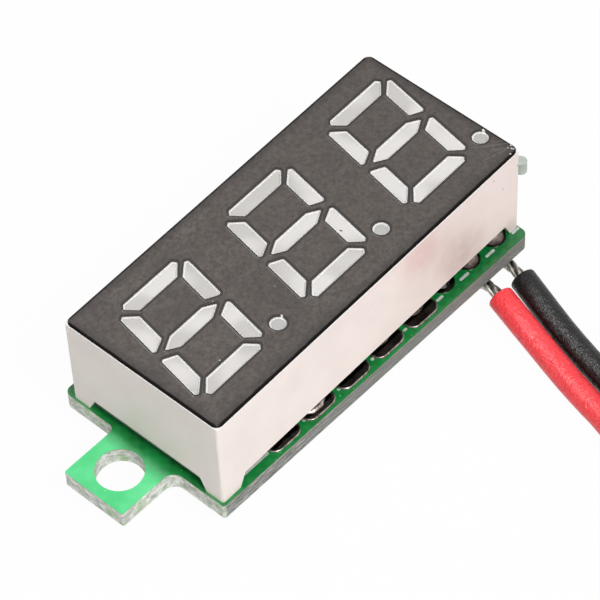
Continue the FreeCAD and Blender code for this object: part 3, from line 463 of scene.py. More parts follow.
display = {
    "turn": 1.4,
    "up": 0.145,
    "length": 22.5,
    "width": 10.0,
    "face": 8.9,
    "wall": (240, 231, 225),
    "wallCloud": (236, 226, 220),
    # Painted highlight: the top of the wall turns near white between the two heights that follow
    "rim": (253, 251, 249),
    "rimHighlightLevels": (8.7, 8.74),
    "wallSpecks": [(9.32, -4.63, 8.25, 0.07), (10.05, -4.61, 6.95, 0.07), (11.22, -4.58, 7.75, 0.1),
                   (-11.2, 1.6, 6.2, 0.06)],
    "speck": (150, 138, 132),
    # Place, radius, colour and strength of each painted reflection and shadow of the leads on the wall
    "paintedLeadReflections": [((3.6, -4.95, 7.9), 1.1, (222, 176, 172), 0.5),
                ((6.9, -4.95, 4.7), 1.3, (182, 166, 158), 0.55),
                ((5.2, -4.95, 6.4), 1.7, (200, 180, 172), 0.35),
                ((10.8, -4.95, 3.2), 0.6, (190, 188, 185), 0.6)],
    "film": (64, 57, 52),
    "filmGrain": (104, 96, 91),
    "filmCloud": (58, 52, 49),
    # Dark tone of the painted shade along the film's edge; also that of the nick in a segment
    "paintedEdgeShadeAndNick": (20, 16, 15),
    "filmMark": (150, 143, 138),
    "filmRoughness": (0.34, 0.46),
    # Patterns: size of the lumps, detail, roughness, the levels that they run between, and the strength there
    "wallPattern": (2.2, 4, 0.5, 0.35, 0.7),
    "leadReflectionPattern": (0.8, 4, 0.5, 0.3, 0.6),
    "grainPattern": (0.2, 6, 0.72, 0.3, 0.72),
    "cloudPattern": (2.4, 4, 0.62, 0.36, 0.68, 0.0, 0.4),
    "dustPattern": (0.08, 3, 0.5, 0.68, 0.76, 0.0, 0.3),
    "resinPattern": (2.0, 0, 0.5, 0.36, 0.64),
    # How strong the marks are
    "speckShare": 0.5,
    "scratchShare": 0.42,
    "dotShare": 0.85,
    # Along X, then from the film's edge inwards: start, end, and the strength at each
    "filmFar": (-6.0, 9.0, 0.0, 0.3),
    # Painted shade: a darker band and a dark line along the film's bevelled edge, for its shadow and dark
    # reflection
    "edgeShade": (0.12, 0.7, 0.5, 0.0),
    "paintedEdgeShadowLine": (0.12, 0.2, 1.0, 0.0),
    "edgeGloss": (0.1, 0.22, 0.05, 0.45),
    "edgeUneven": 0.16,
    "windowLine": (34, 28, 25),
    "resin": (231, 228, 225),
    "resinShade": (207, 204, 200),
    "resinDot": (188, 187, 184),
    "resinRoughness": (0.3, 0.44),
    # On the face, in the display's own place: start, end and half width of each scratch
    "scratches": [((9.97, -3.33), (11.25, -4.4), 0.017), ((10.3, -4.0), (11.0, -4.62), 0.012),
                  ((9.5, -4.1), (10.75, -4.5), 0.012), ((10.62, -3.5), (11.18, -4.15), 0.01)],
    "flecks": [(11.12, -4.5, 0.045), (11.02, -4.74, 0.04), (10.67, -4.84, 0.04), (-8.13, -2.35, 0.035),
               (10.9, -4.5, 0.03), (10.98, -4.66, 0.04), (-5.71, 0.29, 0.03), (-3.1, -1.4, 0.02)],
    "nicks": [((10.98, -2.86), (0.11, 0.06), 60), ((-4.28, -2.9), (0.12, 0.05), 55)],
    "resinNick": ((1.63, -1.52), (0.035, 0.07), 20),
}


def onDisplay(across, up):
    turn = math.radians(display["turn"])
    return (across * math.cos(turn) - up * math.sin(turn),
            across * math.sin(turn) + up * math.cos(turn) + display["up"], display["face"])


def fromEdge(tree):
    # How far a spot of the face is from the display's nearest side
    spot = place(tree, middle=(0, display["up"], 0), turn=-display["turn"])
    across = sums(tree, "SUBTRACT", display["length"] / 2, sums(tree, "ABSOLUTE", axisOf(tree, spot, "X")))
    up = sums(tree, "SUBTRACT", display["width"] / 2, sums(tree, "ABSOLUTE", axisOf(tree, spot, "Y")))
    return sums(tree, "MINIMUM", across, up)


def makeHousingFinish():
    material, tree, shader = finish("housingPlastic", Roughness=0.5)
    spot = place(tree)
    cloud = pattern(tree, spot, *display["wallPattern"])
    base = blend(tree, cloud, display["wall"], display["wallCloud"])
    specks = [disc(tree, mark[:3], mark[3], soft=0.5, stretch=(1, 1, 1)) for mark in display["wallSpecks"]]
    base = blend(tree, times(tree, most(tree, specks), display["speckShare"]), base, display["speck"])
    # Painted reflections and shadows of the leads, pink and grey, on the long wall
    for middle, radius, tone, share in display["paintedLeadReflections"]:
        uneven = pattern(tree, spot, *display["leadReflectionPattern"], share * 0.6, share)
        paintedReflection = times(tree, disc(tree, middle, radius, soft=0.95, stretch=(1, 1, 1)), uneven)
        base = blend(tree, paintedReflection, base, tone)
    # Painted highlight: the top of the wall turns near white
    rim = ramp(tree, axisOf(tree, spot, "Z"), *display["rimHighlightLevels"])
    feed(tree, shader, "Base Color", blend(tree, rim, base, display["rim"]))
    relief(tree, shader, noise(tree, spot, 1.2, 2), depth=0.004)
    return material


def nickMasks(tree):
    return [patch(tree, onDisplay(*middle), size, turn) for middle, size, turn in display["nicks"]]


def makeFilmFinish():
    material, tree, shader = finish("facePrint", Specular_IOR_Level=0.45)
    spot = place(tree)
    grain = pattern(tree, spot, *display["grainPattern"])
    base = blend(tree, grain, display["film"], display["filmGrain"])
    cloud = pattern(tree, spot, *display["cloudPattern"])
    far = ramp(tree, axisOf(tree, spot, "X"), *display["filmFar"])
    base = blend(tree, sums(tree, "MAXIMUM", cloud, far), base, display["filmCloud"])
    base = blend(tree, pattern(tree, spot, *display["dustPattern"]), base, display["filmMark"])
    edge = fromEdge(tree)
    uneven = times(tree, sums(tree, "SUBTRACT", noise(tree, spot, 0.4, 4), 0.5), display["edgeUneven"])
    # Painted shade along the film's bevelled edge: a darker band, then a dark line
    base = blend(tree, ramp(tree, edge, *display["edgeShade"]), base, display["paintedEdgeShadeAndNick"])
    shadowLine = ramp(tree, sums(tree, "ADD", edge, uneven), *display["paintedEdgeShadowLine"])
    base = blend(tree, shadowLine, base, display["paintedEdgeShadeAndNick"])
    lines = []
    for start, end, width in display["scratches"]:
        middle = onDisplay((start[0] + end[0]) / 2, (start[1] + end[1]) / 2)
        turn = math.degrees(math.atan2(end[1] - start[1], end[0] - start[0])) + display["turn"]
        lines.append(patch(tree, middle, (math.dist(start, end) / 2, width), turn, soft=0.4))
    scratch = most(tree, lines)
    base = blend(tree, times(tree, scratch, display["scratchShare"]), base, display["filmMark"])
    bare = [disc(tree, onDisplay(across, up), radius, soft=0.4) for across, up, radius in display["flecks"]]
    base = blend(tree, most(tree, bare + nickMasks(tree)), base, display["resin"])
    feed(tree, shader, "Base Color", base)
    feed(tree, shader, "Specular IOR Level", ramp(tree, edge, *display["edgeGloss"]))
    unevenShine(tree, shader, spot, 0.5, display["filmRoughness"])
    relief(tree, shader, sums(tree, "SUBTRACT", grain, scratch), depth=0.003)
    return material


def cornersOf(node):
    return [vertex.co / millimetre for vertex in node.data.vertices]


def middleOf(node):
    return tuple((min(part) + max(part)) / 2 for part in zip(*cornersOf(node)))


def makeSegmentFinish():
    material, tree, shader = finish("segmentResin")
    spot = place(tree)
    shade = pattern(tree, spot, *display["resinPattern"])
    base = blend(tree, shade, display["resin"], display["resinShade"])
    points = [middleOf(frame["nodes"][f"digit_{digit}_point"]) for digit in (1, 2, 3)]
    dots = most(tree, [disc(tree, point, radius=0.8, soft=0.2) for point in points])
    base = blend(tree, times(tree, dots, display["dotShare"]), base, display["resinDot"])
    middle, size, turn = display["resinNick"]
    nick = patch(tree, onDisplay(*middle), size, turn)
    feed(tree, shader, "Base Color", blend(tree, nick, base, display["paintedEdgeShadeAndNick"]))
    unevenShine(tree, shader, spot, 0.3, display["resinRoughness"])
    relief(tree, shader, noise(tree, spot, 0.9, 2), depth=0.02)
    return material


# Board

board = {
    "top": 2.8,
    "under": 1.8,
    # Painted light and shade on the resist: a light green on the ears, a dark one under the display, darker
    # still towards the leads
    "ear": (96, 229, 151),
    "earCloud": (72, 216, 131),
    "shaded": (12, 132, 58),
    "shadedCloud": (8, 112, 46),
    "shadedFar": (4, 96, 42),
    "grey": (104, 105, 102),
    "greyStreak": (184, 187, 182),
    "greyCalm": (128, 131, 127),
    "leftEdge": (196, 200, 190),
    "leftGreen": (150, 206, 118),
    "leftStreak": (250, 252, 246),
    "deep": (74, 74, 70),
    "topLine": (170, 148, 128),
    "fleck": (190, 240, 205),
    "tip": (186, 194, 188),
    # Patterns: size of the lumps, detail, roughness, the levels that they run between, and the strength there
    "mottlePattern": (1.4, 4, 0.5, 0.3, 0.7),
    "fleckPattern": (0.11, 2, 0.5, 0.74, 0.78, 0.0, 0.7),
    "blotchPattern": (0.55, 5, 0.7, 0.4, 0.6),
    "tingePattern": (0.8, 3, 0.6, 0.5, 0.68, 0.0, 0.55),
    "gritPattern": (0.1, 3, 0.5, 0.6, 0.7),
    "topLinePattern": (0.5, 3, 0.5, 0.35, 0.6),
    "cloth": (-0.6, 0.6, 0.0, 0.04),
    # The sawn edge's layers: how many radians a millimetre, how far they wander, their share and the levels
    "layers": (24.0, 14.0, 0.05),
    "streakLevels": (0.38, 0.63),
    "gritShares": (0.45, 0.2),  # on the long edges and at the left
    "topLineShare": 0.75,
    "tipShare": 0.9,
    # Along X: start, end, and the strength at each
    "shadedRun": (1.0, 9.5, 0.0, 0.8),
    "calmRun": (-9.0, 1.0, 0.0, 0.75),
    "threads": 9.0,  # of the woven glass: radians a millimetre
    "resist": (0.012, 0.002),  # depths in the board where the green starts and is full
    "roughness": (0.72, 0.26),  # of the edges and of the faces
    "coat": 0.3,
    # Where one look gives way to the next: out along the ears, at the left, at the far tip and up the edge
    "earFrom": (11.3, 12.6),
    "leftFrom": (-11.0, -11.25),
    "tipFrom": (13.6, 14.0),
    "topLineFrom": (2.72, 2.75),
    "print": (198, 201, 198),
    "printCloud": (168, 172, 168),
    "printHeight": 0.02,
    "printLine": 0.15,
    # Middle and half length of each printed dash beside the pads
    "printNear": [(-9.15, 1.6), (-4.88, 0.05), (-2.36, 0.05), (0.1, 0.03), (2.54, 0.06), (5.17, 0.18),
                  (7.05, 0.27), (9.05, 0.26), (11.02, 0.2)],
    "printNearUp": -4.69,
    "printEnd": [(-10.68, -4.69), (-10.95, 5.0)],
}


def makeBoardFinish():
    # Green resist on both faces, woven glass and resin on the sawn edges
    material, tree, shader = finish("boardLaminate", Coat_Roughness=0.1)
    spot = place(tree)
    up, across = axisOf(tree, spot, "Z"), axisOf(tree, spot, "X")
    faces = most(tree, [ramp(tree, up, *[board["top"] - depth for depth in board["resist"]]),
                        ramp(tree, up, *[board["under"] + depth for depth in board["resist"]])])
    threads = [sums(tree, "SINE", times(tree, axisOf(tree, spot, axis), board["threads"])) for axis in "XY"]
    cloth = ramp(tree, times(tree, *threads), *board["cloth"])
    mottle = pattern(tree, spot, *board["mottlePattern"])
    # Painted shade under the display, deepening towards the leads, and painted light on the ears
    bare = blend(tree, mottle, board["ear"], board["earCloud"])
    under = blend(tree, mottle, board["shaded"], board["shadedCloud"])
    under = blend(tree, ramp(tree, across, *board["shadedRun"]), under, board["shadedFar"])
    green = blend(tree, ramp(tree, sums(tree, "ABSOLUTE", across), *board["earFrom"]), under, bare)
    green = blend(tree, cloth, green, board["ear"])
    green = blend(tree, pattern(tree, spot, *board["fleckPattern"]), green, board["fleck"])
    # The layers of cloth in the sawn edge, seen as broken streaks
    many, far, share = board["layers"]
    wander = times(tree, noise(tree, place(tree, scale=(1, 1, 0.5)), 1.1, 5, 0.65), far)
    layers = sums(tree, "SINE", sums(tree, "ADD", times(tree, up, many), wander))
    broken = noise(tree, place(tree, scale=(0.4, 0.4, 3.2)), 0.42, 6, 0.72)
    streaks = ramp(tree, sums(tree, "ADD", times(tree, layers, share), broken), *board["streakLevels"])
    grey = blend(tree, streaks, board["grey"], board["greyStreak"])
    grey = blend(tree, ramp(tree, across, *board["calmRun"]), grey, board["greyCalm"])
    blotch = pattern(tree, place(tree, scale=(1, 1, 1.6)), *board["blotchPattern"])
    pale = blend(tree, blotch, board["leftEdge"], board["leftStreak"])
    tinge = pattern(tree, place(tree, middle=(5, 2, 1)), *board["tingePattern"])
    pale = blend(tree, tinge, pale, board["leftGreen"])
    left = ramp(tree, across, *board["leftFrom"])
    edge = blend(tree, left, grey, pale)
    grit = pattern(tree, spot, *board["gritPattern"])
    gritty = times(tree, grit, ramp(tree, left, 0.0, 1.0, *board["gritShares"]))
    edge = blend(tree, gritty, edge, board["deep"])
    ragged = pattern(tree, spot, *board["topLinePattern"])
    line = times(tree, ramp(tree, up, *board["topLineFrom"]), ragged)
    edge = blend(tree, times(tree, line, board["topLineShare"]), edge, board["topLine"])
    farTip = times(tree, ramp(tree, across, *board["tipFrom"]), board["tipShare"])
    feed(tree, shader, "Base Color", blend(tree, farTip, blend(tree, faces, edge, green), board["tip"]))
    feed(tree, shader, "Roughness", ramp(tree, faces, 0.0, 1.0, *board["roughness"]))
    feed(tree, shader, "Coat Weight", times(tree, faces, board["coat"]))
    rough = times(tree, sums(tree, "ADD", streaks, grit), ramp(tree, faces, 0.0, 1.0, 1.0, 0.0))
    relief(tree, shader, sums(tree, "ADD", rough, times(tree, mottle, 0.2)), depth=0.03)
    return material


# Patterns that several finishes share, as above, and the first without its size
softFinish = {
    "cloud": (4, 0.6, 0.32, 0.68),
    # The glint is painted highlight: pale specks on the insulation
    "paintedGlint": (0.15, 4, 0.66, 0.56, 0.7, 0.0, 0.12),
}


def makeMetalFinish(name, tone, darker, roughness=(0.2, 0.4), size=0.3, depth=0.004, metallic=1.0):
    material, tree, shader = finish(name, Metallic=metallic)
    spot = place(tree)
    cloud = pattern(tree, spot, size, *softFinish["cloud"])
    feed(tree, shader, "Base Color", blend(tree, cloud, tone, darker))
    unevenShine(tree, shader, spot, size * 0.7, roughness, 3)
    relief(tree, shader, noise(tree, spot, size * 0.5, 4), depth)
    return material


def makePlainFinish(name, tone, other, roughness=(0.45, 0.6), size=0.5, grain=0.08, depth=0.004):
    material, tree, shader = finish(name)
    spot = place(tree)
    cloud = pattern(tree, spot, size, *softFinish["cloud"])
    feed(tree, shader, "Base Color", blend(tree, cloud, tone, other))
    unevenShine(tree, shader, spot, grain * 3, roughness, 3)
    relief(tree, shader, noise(tree, spot, grain, 5, 0.6), depth)
    return material


def makeInsulationFinish(name, tone, other, paintedGlintTone, shine, roughness=(0.24, 0.4)):
    # Soft plastic with a faint cloud, a fine grain in its relief, and painted glints: pale specks for light
    # caught by the grain
    material, tree, shader = finish(name, Specular_IOR_Level=shine)
    spot = place(tree)
    cloud = pattern(tree, spot, 1.2, *softFinish["cloud"])
    base = blend(tree, cloud, tone, other)
    # Painted highlight: pale specks for light caught by the grain
    paintedGlint = pattern(tree, spot, *softFinish["paintedGlint"])
    feed(tree, shader, "Base Color", blend(tree, paintedGlint, base, paintedGlintTone))
    unevenShine(tree, shader, spot, 0.2, roughness)
    relief(tree, shader, noise(tree, spot, 0.26, 4, 0.6), depth=0.1)
    return material


finishes = {
    "board_green": makeBoardFinish(),
    # The pads' tin is given a dark tone: painted shade, where they lie under the display
    "pad_metal": makeMetalFinish("shadeDarkTinPads", (104, 99, 98), (66, 61, 60), (0.07, 0.16), 0.9, 0.012),
    "housing_white": makeHousingFinish(),
    "face_film": makeFilmFinish(),
    "segment_resin": makeSegmentFinish(),
    "light_chip": makePlainFinish("lightChips", (200, 196, 150), (180, 174, 120)),
    "inner_board": makePlainFinish("innerBoard", (225, 225, 216), (210, 209, 198)),
    "potting_resin": makePlainFinish("pottingResin", (52, 50, 50), (40, 38, 38), (0.25, 0.4)),
    "pin_metal": makeMetalFinish("tinnedPins", (205, 203, 200), (180, 178, 174)),
    "solder": makeMetalFinish("solderJoints", (150, 137, 131), (80, 71, 67), (0.1, 0.3), 0.26, 0.012, 0.55),
    "chip_black": makePlainFinish("chipBodies", (44, 44, 46), (35, 35, 37), (0.5, 0.7)),
    "lead_metal": makeMetalFinish("tinnedLeads", (210, 210, 212), (182, 182, 184)),
    "capacitor_ceramic": makePlainFinish("capacitorCeramic", (188, 163, 132), (172, 146, 115)),
    "resistor_black": makePlainFinish("resistorGlaze", (50, 50, 54), (38, 38, 42), (0.18, 0.3)),
    "trimmer_white": makePlainFinish("trimmerCeramic", (224, 221, 212), (210, 206, 196)),
    "trimmer_metal": makeMetalFinish("trimmerRotor", (216, 210, 188), (190, 183, 160)),
    "strand_metal": makeMetalFinish("tinnedStrands", (200, 197, 190), (124, 121, 114), (0.22, 0.42)),
    "red_insulation": makeInsulationFinish("redInsulation", (255, 70, 77), (252, 62, 70),
                                           (255, 150, 152), 0.45),
    "black_insulation": makeInsulationFinish("blackInsulation", (20, 17, 17), (13, 11, 11),
                                             (90, 84, 82), 0.35),
}
for part in frame["record"]["subparts"]:
    node = frame["nodes"][part["node"]]
    node.data.materials.clear()
    node.data.materials.append(finishes[part["material_slot"]])
print("finishes ready")


# Leads, strands and their ends

wireTree = twistedTree()
for tint, lead in leadRoutes.items():
    insulation, metal = finishes[f"{tint}_insulation"], finishes["strand_metal"]
    line = routeLine(smoothRoute(f"{tint}Route", leadPoints(lead)))
    sleeve = makeSleeve(f"{tint}Lead", line, insulation)
    strands = makeStrands(f"{tint}Strands", strandPoints(lead), metal, wireTree)
    tip = makeStrands(f"{tint}LeadTip", tipPoints(lead), metal, wireTree)
    for piece, nodes, slotName in ((sleeve, [f"{tint}_lead", f"{tint}_lead_coil"], f"{tint}_insulation"),
                                   (strands, [f"{tint}_strands"], "strand_metal"),
                                   (tip, [f"{tint}_lead_tip"], "strand_metal")):
        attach(piece, "meter")
        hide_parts(*nodes)
print("leads laid")


# Edges of the face's windows: a dark line on the film and the housing's pale rim inside it

windowEdges = {
    "corner": 0.09,
    "roundFrom": 12,  # an outline with more corners than this is round already
    "level": 0.001,  # how far below the front a corner still counts as on it
    # Across from the window's edge, the height, and how much higher on the side towards the leads
    "dark": [(0.115, 8.899, 0), (0.07, 8.914, 0), (0.0, 8.912, 0), (-0.012, 8.86, 0)],
    "pale": [(0.004, 8.8, 0.06), (-0.065, 8.8, 0.05), (-0.09, 8.786, 0.02), (-0.09, 8.77, 0),
             (0.004, 8.77, 0)],
}


def outlineOf(node):
    # The convex outline of a segment's front, anticlockwise, in millimetres
    corners = cornersOf(node)
    level = max(corner.z for corner in corners) - windowEdges["level"]
    found = {(round(corner.x, 4), round(corner.y, 4)) for corner in corners if corner.z > level}
    middle = [sum(spot[axis] for spot in found) / len(found) for axis in (0, 1)]
    return sorted(found, key=lambda spot: math.atan2(spot[1] - middle[1], spot[0] - middle[0]))


def softCorners(outline, radius, steps=4):
    if len(outline) > windowEdges["roundFrom"]:
        return outline
    softened = []
    for number, corner in enumerate(outline):
        before, after = Vector(outline[number - 1]), Vector(outline[(number + 1) % len(outline)])
        corner = Vector(corner)
        come, go = (before - corner).normalized(), (after - corner).normalized()
        reach = radius / math.tan(come.angle(go) / 2)
        for step in range(steps + 1):
            share = step / steps
            away = come * reach * (1 - share) ** 2 + go * reach * share ** 2
            softened.append(tuple(corner + away))
    return softened


def movedOut(outline, distance, level, rise):
    moved = []
    for number, corner in enumerate(outline):
        before, after = Vector(outline[number - 1]), Vector(outline[(number + 1) % len(outline)])
        along = (after - before).normalized()
        moved.append((corner[0] + along.y * distance, corner[1] - along.x * distance,
                      level + rise * max(0.0, along.x)))
    return moved


def makeWindowLine():
    # Dark, and bare where the film is nicked at a window
    material, tree, shader = finish("windowLine", Roughness=0.45)
    bare = most(tree, nickMasks(tree))
    feed(tree, shader, "Base Color", blend(tree, bare, display["windowLine"], display["resin"]))
    return material


def makeWindowEdge(name, sides, material, slotName):
    # One ring round every window, with as many sides as it has places in its section
    vertices, faces = [], []
    for label, node in frame["nodes"].items():
        if not label.startswith("digit_"):
            continue
        outline = softCorners(outlineOf(node), windowEdges["corner"])
        faces += bandFaces(len(outline), len(sides), len(vertices), closed=True)
        for side in sides:
            vertices += movedOut(outline, *side)
    makePiece(name, vertices, faces, material, slotName)


makeWindowEdge("windowLines", windowEdges["dark"], makeWindowLine(), "face_film")
rimPlastic = makePlainFinish("windowRim", (250, 248, 246), (240, 238, 236), (0.3, 0.4))
makeWindowEdge("windowRims", windowEdges["pale"], rimPlastic, "housing_white")
print("windows edged")


# Beads of solder round the long pads

padBeads = {
    "pitch": 2.54,
    "first": -6.35,
    "rows": {"near": (5, -3.665), "far": (6, 3.955)},  # pads in the row and where it runs
    "length": 2.05,
    "width": 2.77,
    "corner": 0.5,
    "thickness": 0.14,
    "level": 2.83,
}


def beadTree():
    tree, given, end = nodeTree("padBeads", {
        "pads": "Int", "pitch": "Float", "firstPlace": "Vector", "length": "Float", "width": "Float",
        "corner": "Float", "thickness": "Float", "metal": "Material"})
    box = grow(tree, "GeometryNodeCurvePrimitiveQuadrilateral", {"mode": "RECTANGLE"},
               Width=given["length"], Height=given["width"])
    rounded = grow(tree, "GeometryNodeFilletCurve", {"mode": "POLY"}, Curve=box.outputs["Curve"], Count=6,
                   Radius=given["corner"])
    ring = grow(tree, "GeometryNodeCurvePrimitiveCircle", Resolution=10,
                Radius=times(tree, given["thickness"], 0.5))
    bead = grow(tree, "GeometryNodeCurveToMesh", Curve=rounded.outputs["Curve"],
                **{"Profile Curve": ring.outputs["Curve"]})
    offset = grow(tree, "ShaderNodeCombineXYZ", X=given["pitch"])
    row = grow(tree, "GeometryNodeMeshLine", {"mode": "OFFSET"}, Count=given["pads"],
               **{"Start Location": given["firstPlace"], "Offset": offset.outputs[0]})
    smooth = grow(tree, "GeometryNodeSetShadeSmooth", Geometry=bead.outputs["Mesh"])
    beads = grow(tree, "GeometryNodeInstanceOnPoints", Points=row.outputs["Mesh"],
                 Instance=smooth.outputs["Geometry"])
    tree.links.new(endTree(tree, beads.outputs["Instances"], given["metal"]), end)
    return tree


def makePadBeads():
    tree = beadTree()
    metal = makeMetalFinish("beadMetal", (186, 178, 174), (112, 104, 100), (0.12, 0.3), 0.3, 0.01)
    sizes = ("pitch", "length", "width", "corner", "thickness")
    lengths = {name: padBeads[name] * millimetre for name in sizes}
    for row, (pads, up) in padBeads["rows"].items():
        maker = addObject(f"{row}Maker", bpy.data.meshes.new(f"{row}Maker"))
        first = tuple(part * millimetre for part in (padBeads["first"], up, padBeads["level"]))
        beads = grown(f"{row}PadBeads", maker, tree, pads=pads, firstPlace=first, metal=metal, **lengths)
        dress(beads)


makePadBeads()
print("pads beaded")


# Print on the board

def raisedShapes(name, outlines, low, high, material, slotName=None, stagger=0.0):
    # Flat shapes with upright sides, all in one mesh
    vertices, faces = [], []
    for number, outline in enumerate(outlines):
        first, count = len(vertices), len(outline)
        for level in (low - number * stagger, high):
            vertices += [(x, y, level) for x, y in outline]
        faces.append(tuple(first + step for step in reversed(range(count))))
        faces.append(tuple(first + count + step for step in range(count)))
        faces += bandFaces(count, 2, first)
    return makePiece(name, vertices, faces, material, slotName)


def lineOutline(line, width, steps=5):
    # One side of a bent line, its half round end, the other side and the other end, anticlockwise
    places = [Vector(spot) for spot in line]
    outline = []
    for way in (places, places[::-1]):
        for number, spot in enumerate(way[1:], 1):
            come = (spot - way[number - 1]).normalized()
            if number + 1 < len(way):
                go = (way[number + 1] - spot).normalized()
                slant = (Vector((come.y, -come.x)) + Vector((go.y, -go.x))).normalized()
                outline.append(tuple(spot + slant * width / 2 / slant.dot(Vector((go.y, -go.x)))))
                continue
            heading = math.atan2(come.y, come.x)
            for step in range(steps + 1):
                angle = heading - math.pi / 2 + math.pi * step / steps
                outline.append((spot.x + width / 2 * math.cos(angle), spot.y + width / 2 * math.sin(angle)))
    return outline


def makePrint():
    up = board["printNearUp"]
    lines = [((across - half, up), (across + half, up)) for across, half in board["printNear"]]
    outlines = [lineOutline(line, board["printLine"]) for line in [*lines, board["printEnd"]]]
    ink = makePlainFinish("boardPrint", board["print"], board["printCloud"], (0.5, 0.65), 0.3, 0.08, 0.003)
    top = board["top"]
    raisedShapes("boardPrint", outlines, top, top + board["printHeight"], ink, "housing_white")


makePrint()
print("board printed")


# Copper under the resist on the underside, and the holes that join it to the other side

copper = {
    "height": 0.02,
    "stagger": 0.0008,  # each run a little lower than the last, so that crossing ones don't share a face
    "width": 0.25,
    "wideWidth": 0.6,
    "fine": [
        [(-2.42, -2.9), (-3.0, -3.3), (-3.81, -3.66)], [(-1.79, -2.9), (-1.27, -3.5)],
        [(0.75, -2.9), (1.27, -3.5)], [(2.02, -2.9), (2.9, -3.4), (3.81, -3.66)],
        [(-2.42, 2.9), (-3.2, 3.6), (-3.81, 3.95)],
        [(-1.15, 2.9), (-1.27, 3.95)], [(1.38, 2.9), (1.27, 3.95)], [(2.02, 2.9), (2.9, 3.5), (3.81, 3.95)],
        [(3.4, -1.2), (3.4, -0.7)], [(4.7, 0.7), (4.7, 1.3)], [(4.7, 2.8), (5.6, 3.2), (6.35, 3.95)],
        [(5.2, 1.95), (5.9, 1.6), (6.4, 1.55)], [(-6.35, 3.95), (-7.2, 3.1), (-7.2, 2.6)]],
    "wide": [
        [(-7.1, -1.5), (-6.2, -1.5), (-5.6, -2.2), (-5.0, -2.2)],
        [(-7.1, 1.5), (-6.2, 1.5), (-5.6, 2.2), (-5.0, 2.2)],
        [(-7.1, 0.0), (-5.9, 0.0), (-5.3, -0.6)], [(9.95, -4.06), (9.95, -2.5), (9.2, -1.75)],
        [(6.0, -1.75), (5.4, -2.4), (4.7, -2.5)], [(-10.3, 4.6), (-7.4, 4.75), (-6.35, 3.95)]],
    "vias": [(-7.2, 2.5), (-3.3, 0.75), (-3.35, -1.1), (2.55, 2.45), (5.75, 2.75), (5.9, -0.5), (10.5, -0.6),
             (-10.4, 3.1), (-7.3, -3.1), (5.35, -3.1), (10.3, 3.9), (-10.5, -3.4), (-10.3, 4.6), (0.1, 3.35)],
    "viaRadius": 0.2,
    "viaHole": 0.13,
    "viaShares": (0.28, 0.2),  # of the radius: how thick the rim and the filling are
}


def makeCopper(material):
    under = board["under"]
    shapes = [lineOutline(run, copper["width"]) for run in copper["fine"]]
    shapes += [lineOutline(run, copper["wideWidth"]) for run in copper["wide"]]
    raisedShapes("copperRuns", shapes, under - copper["height"], under, material, "board_green",
                 copper["stagger"])


def viaTree():
    tree, given, end = nodeTree("vias", {"radius": "Float", "hole": "Float", "ring": "Material",
                                         "dark": "Material"})
    circle = grow(tree, "GeometryNodeCurvePrimitiveCircle", Resolution=16, Radius=given["radius"])
    section = grow(tree, "GeometryNodeCurvePrimitiveCircle", Resolution=8,
                   Radius=times(tree, given["radius"], copper["viaShares"][0]))
    rim = grow(tree, "GeometryNodeCurveToMesh", Curve=circle.outputs["Curve"],
               **{"Profile Curve": section.outputs["Curve"]})
    plug = grow(tree, "GeometryNodeMeshCylinder", Vertices=16, Radius=given["hole"],
                Depth=times(tree, given["radius"], copper["viaShares"][1]))
    both = grow(tree, "GeometryNodeJoinGeometry")
    for shape, label in ((rim, "ring"), (plug, "dark")):
        placed = grow(tree, "GeometryNodeInstanceOnPoints", Points=given["Geometry"],
                      Instance=shape.outputs["Mesh"])
        real = endTree(tree, placed.outputs["Instances"], given[label])
        tree.links.new(real, both.inputs["Geometry"])
    tree.links.new(both.outputs["Geometry"], end)
    return tree


def makeVias(resist):
    maker = makePiece("viaMaker", [(x, y, board["under"]) for x, y in copper["vias"]], [], resist)
    filled = makePlainFinish("filledHole", (6, 62, 30), (4, 50, 24), (0.4, 0.5))
    dress(grown("boardVias", maker, viaTree(), radius=copper["viaRadius"] * millimetre,
                hole=copper["viaHole"] * millimetre, ring=resist, dark=filled))


raisedResist = makePlainFinish("raisedResist", (58, 186, 104), (46, 170, 90), (0.22, 0.34))
makeCopper(raisedResist)
makeVias(raisedResist)
print("underside wired")


# Blob of solder left on the second pad

solderBlob = {
    "middle": (-3.92, -4.62),
    "half": (0.62, 0.2),
    "height": 0.17,
    "waves": ((3, 0.12, 0), (5, 0.07, 1)),  # of its outline: how many, how deep and where the first starts
    "rings": 6,
    "sides": 24,
}


def makeBlob():
    rings, sides = solderBlob["rings"], solderBlob["sides"]
    middle, half, height = (solderBlob[name] for name in ("middle", "half", "height"))
    vertices = []
    for ring in range(rings):
        lift = math.pi / 2 * ring / rings
        for side in range(sides):
            angle = 2 * math.pi * side / sides
            waves = [deep * math.sin(count * angle + start) for count, deep, start in solderBlob["waves"]]
            reach = (1 + sum(waves)) * math.cos(lift)
            vertices.append((middle[0] + half[0] * reach * math.cos(angle),
                             middle[1] + half[1] * reach * math.sin(angle),
                             padBeads["level"] + height * math.sin(lift)))
    vertices.append((*middle, padBeads["level"] + height))
    faces = bandFaces(sides, rings)
    last, peak = (rings - 1) * sides, rings * sides
    faces += [(last + side, last + (side + 1) % sides, peak) for side in range(sides)]
    faces.append(tuple(reversed(range(sides))))
    metal = makeMetalFinish("blobMetal", (226, 214, 208), (140, 128, 122), (0.12, 0.34), 0.2, 0.02)
    piece = makePiece("solderBlob", vertices, faces, metal)
    for face in piece.data.polygons:
        face.use_smooth = len(face.vertices) < 5
    dress(piece)


makeBlob()
print("blob on its pad")


# Tie that holds the coils together

coilTie = {
    "place": 0.3,  # share of a turn, from where the coil starts
    "width": 1.2,
    "thickness": 0.15,
    "turnsHeld": 2,
    "steps": 6,
}


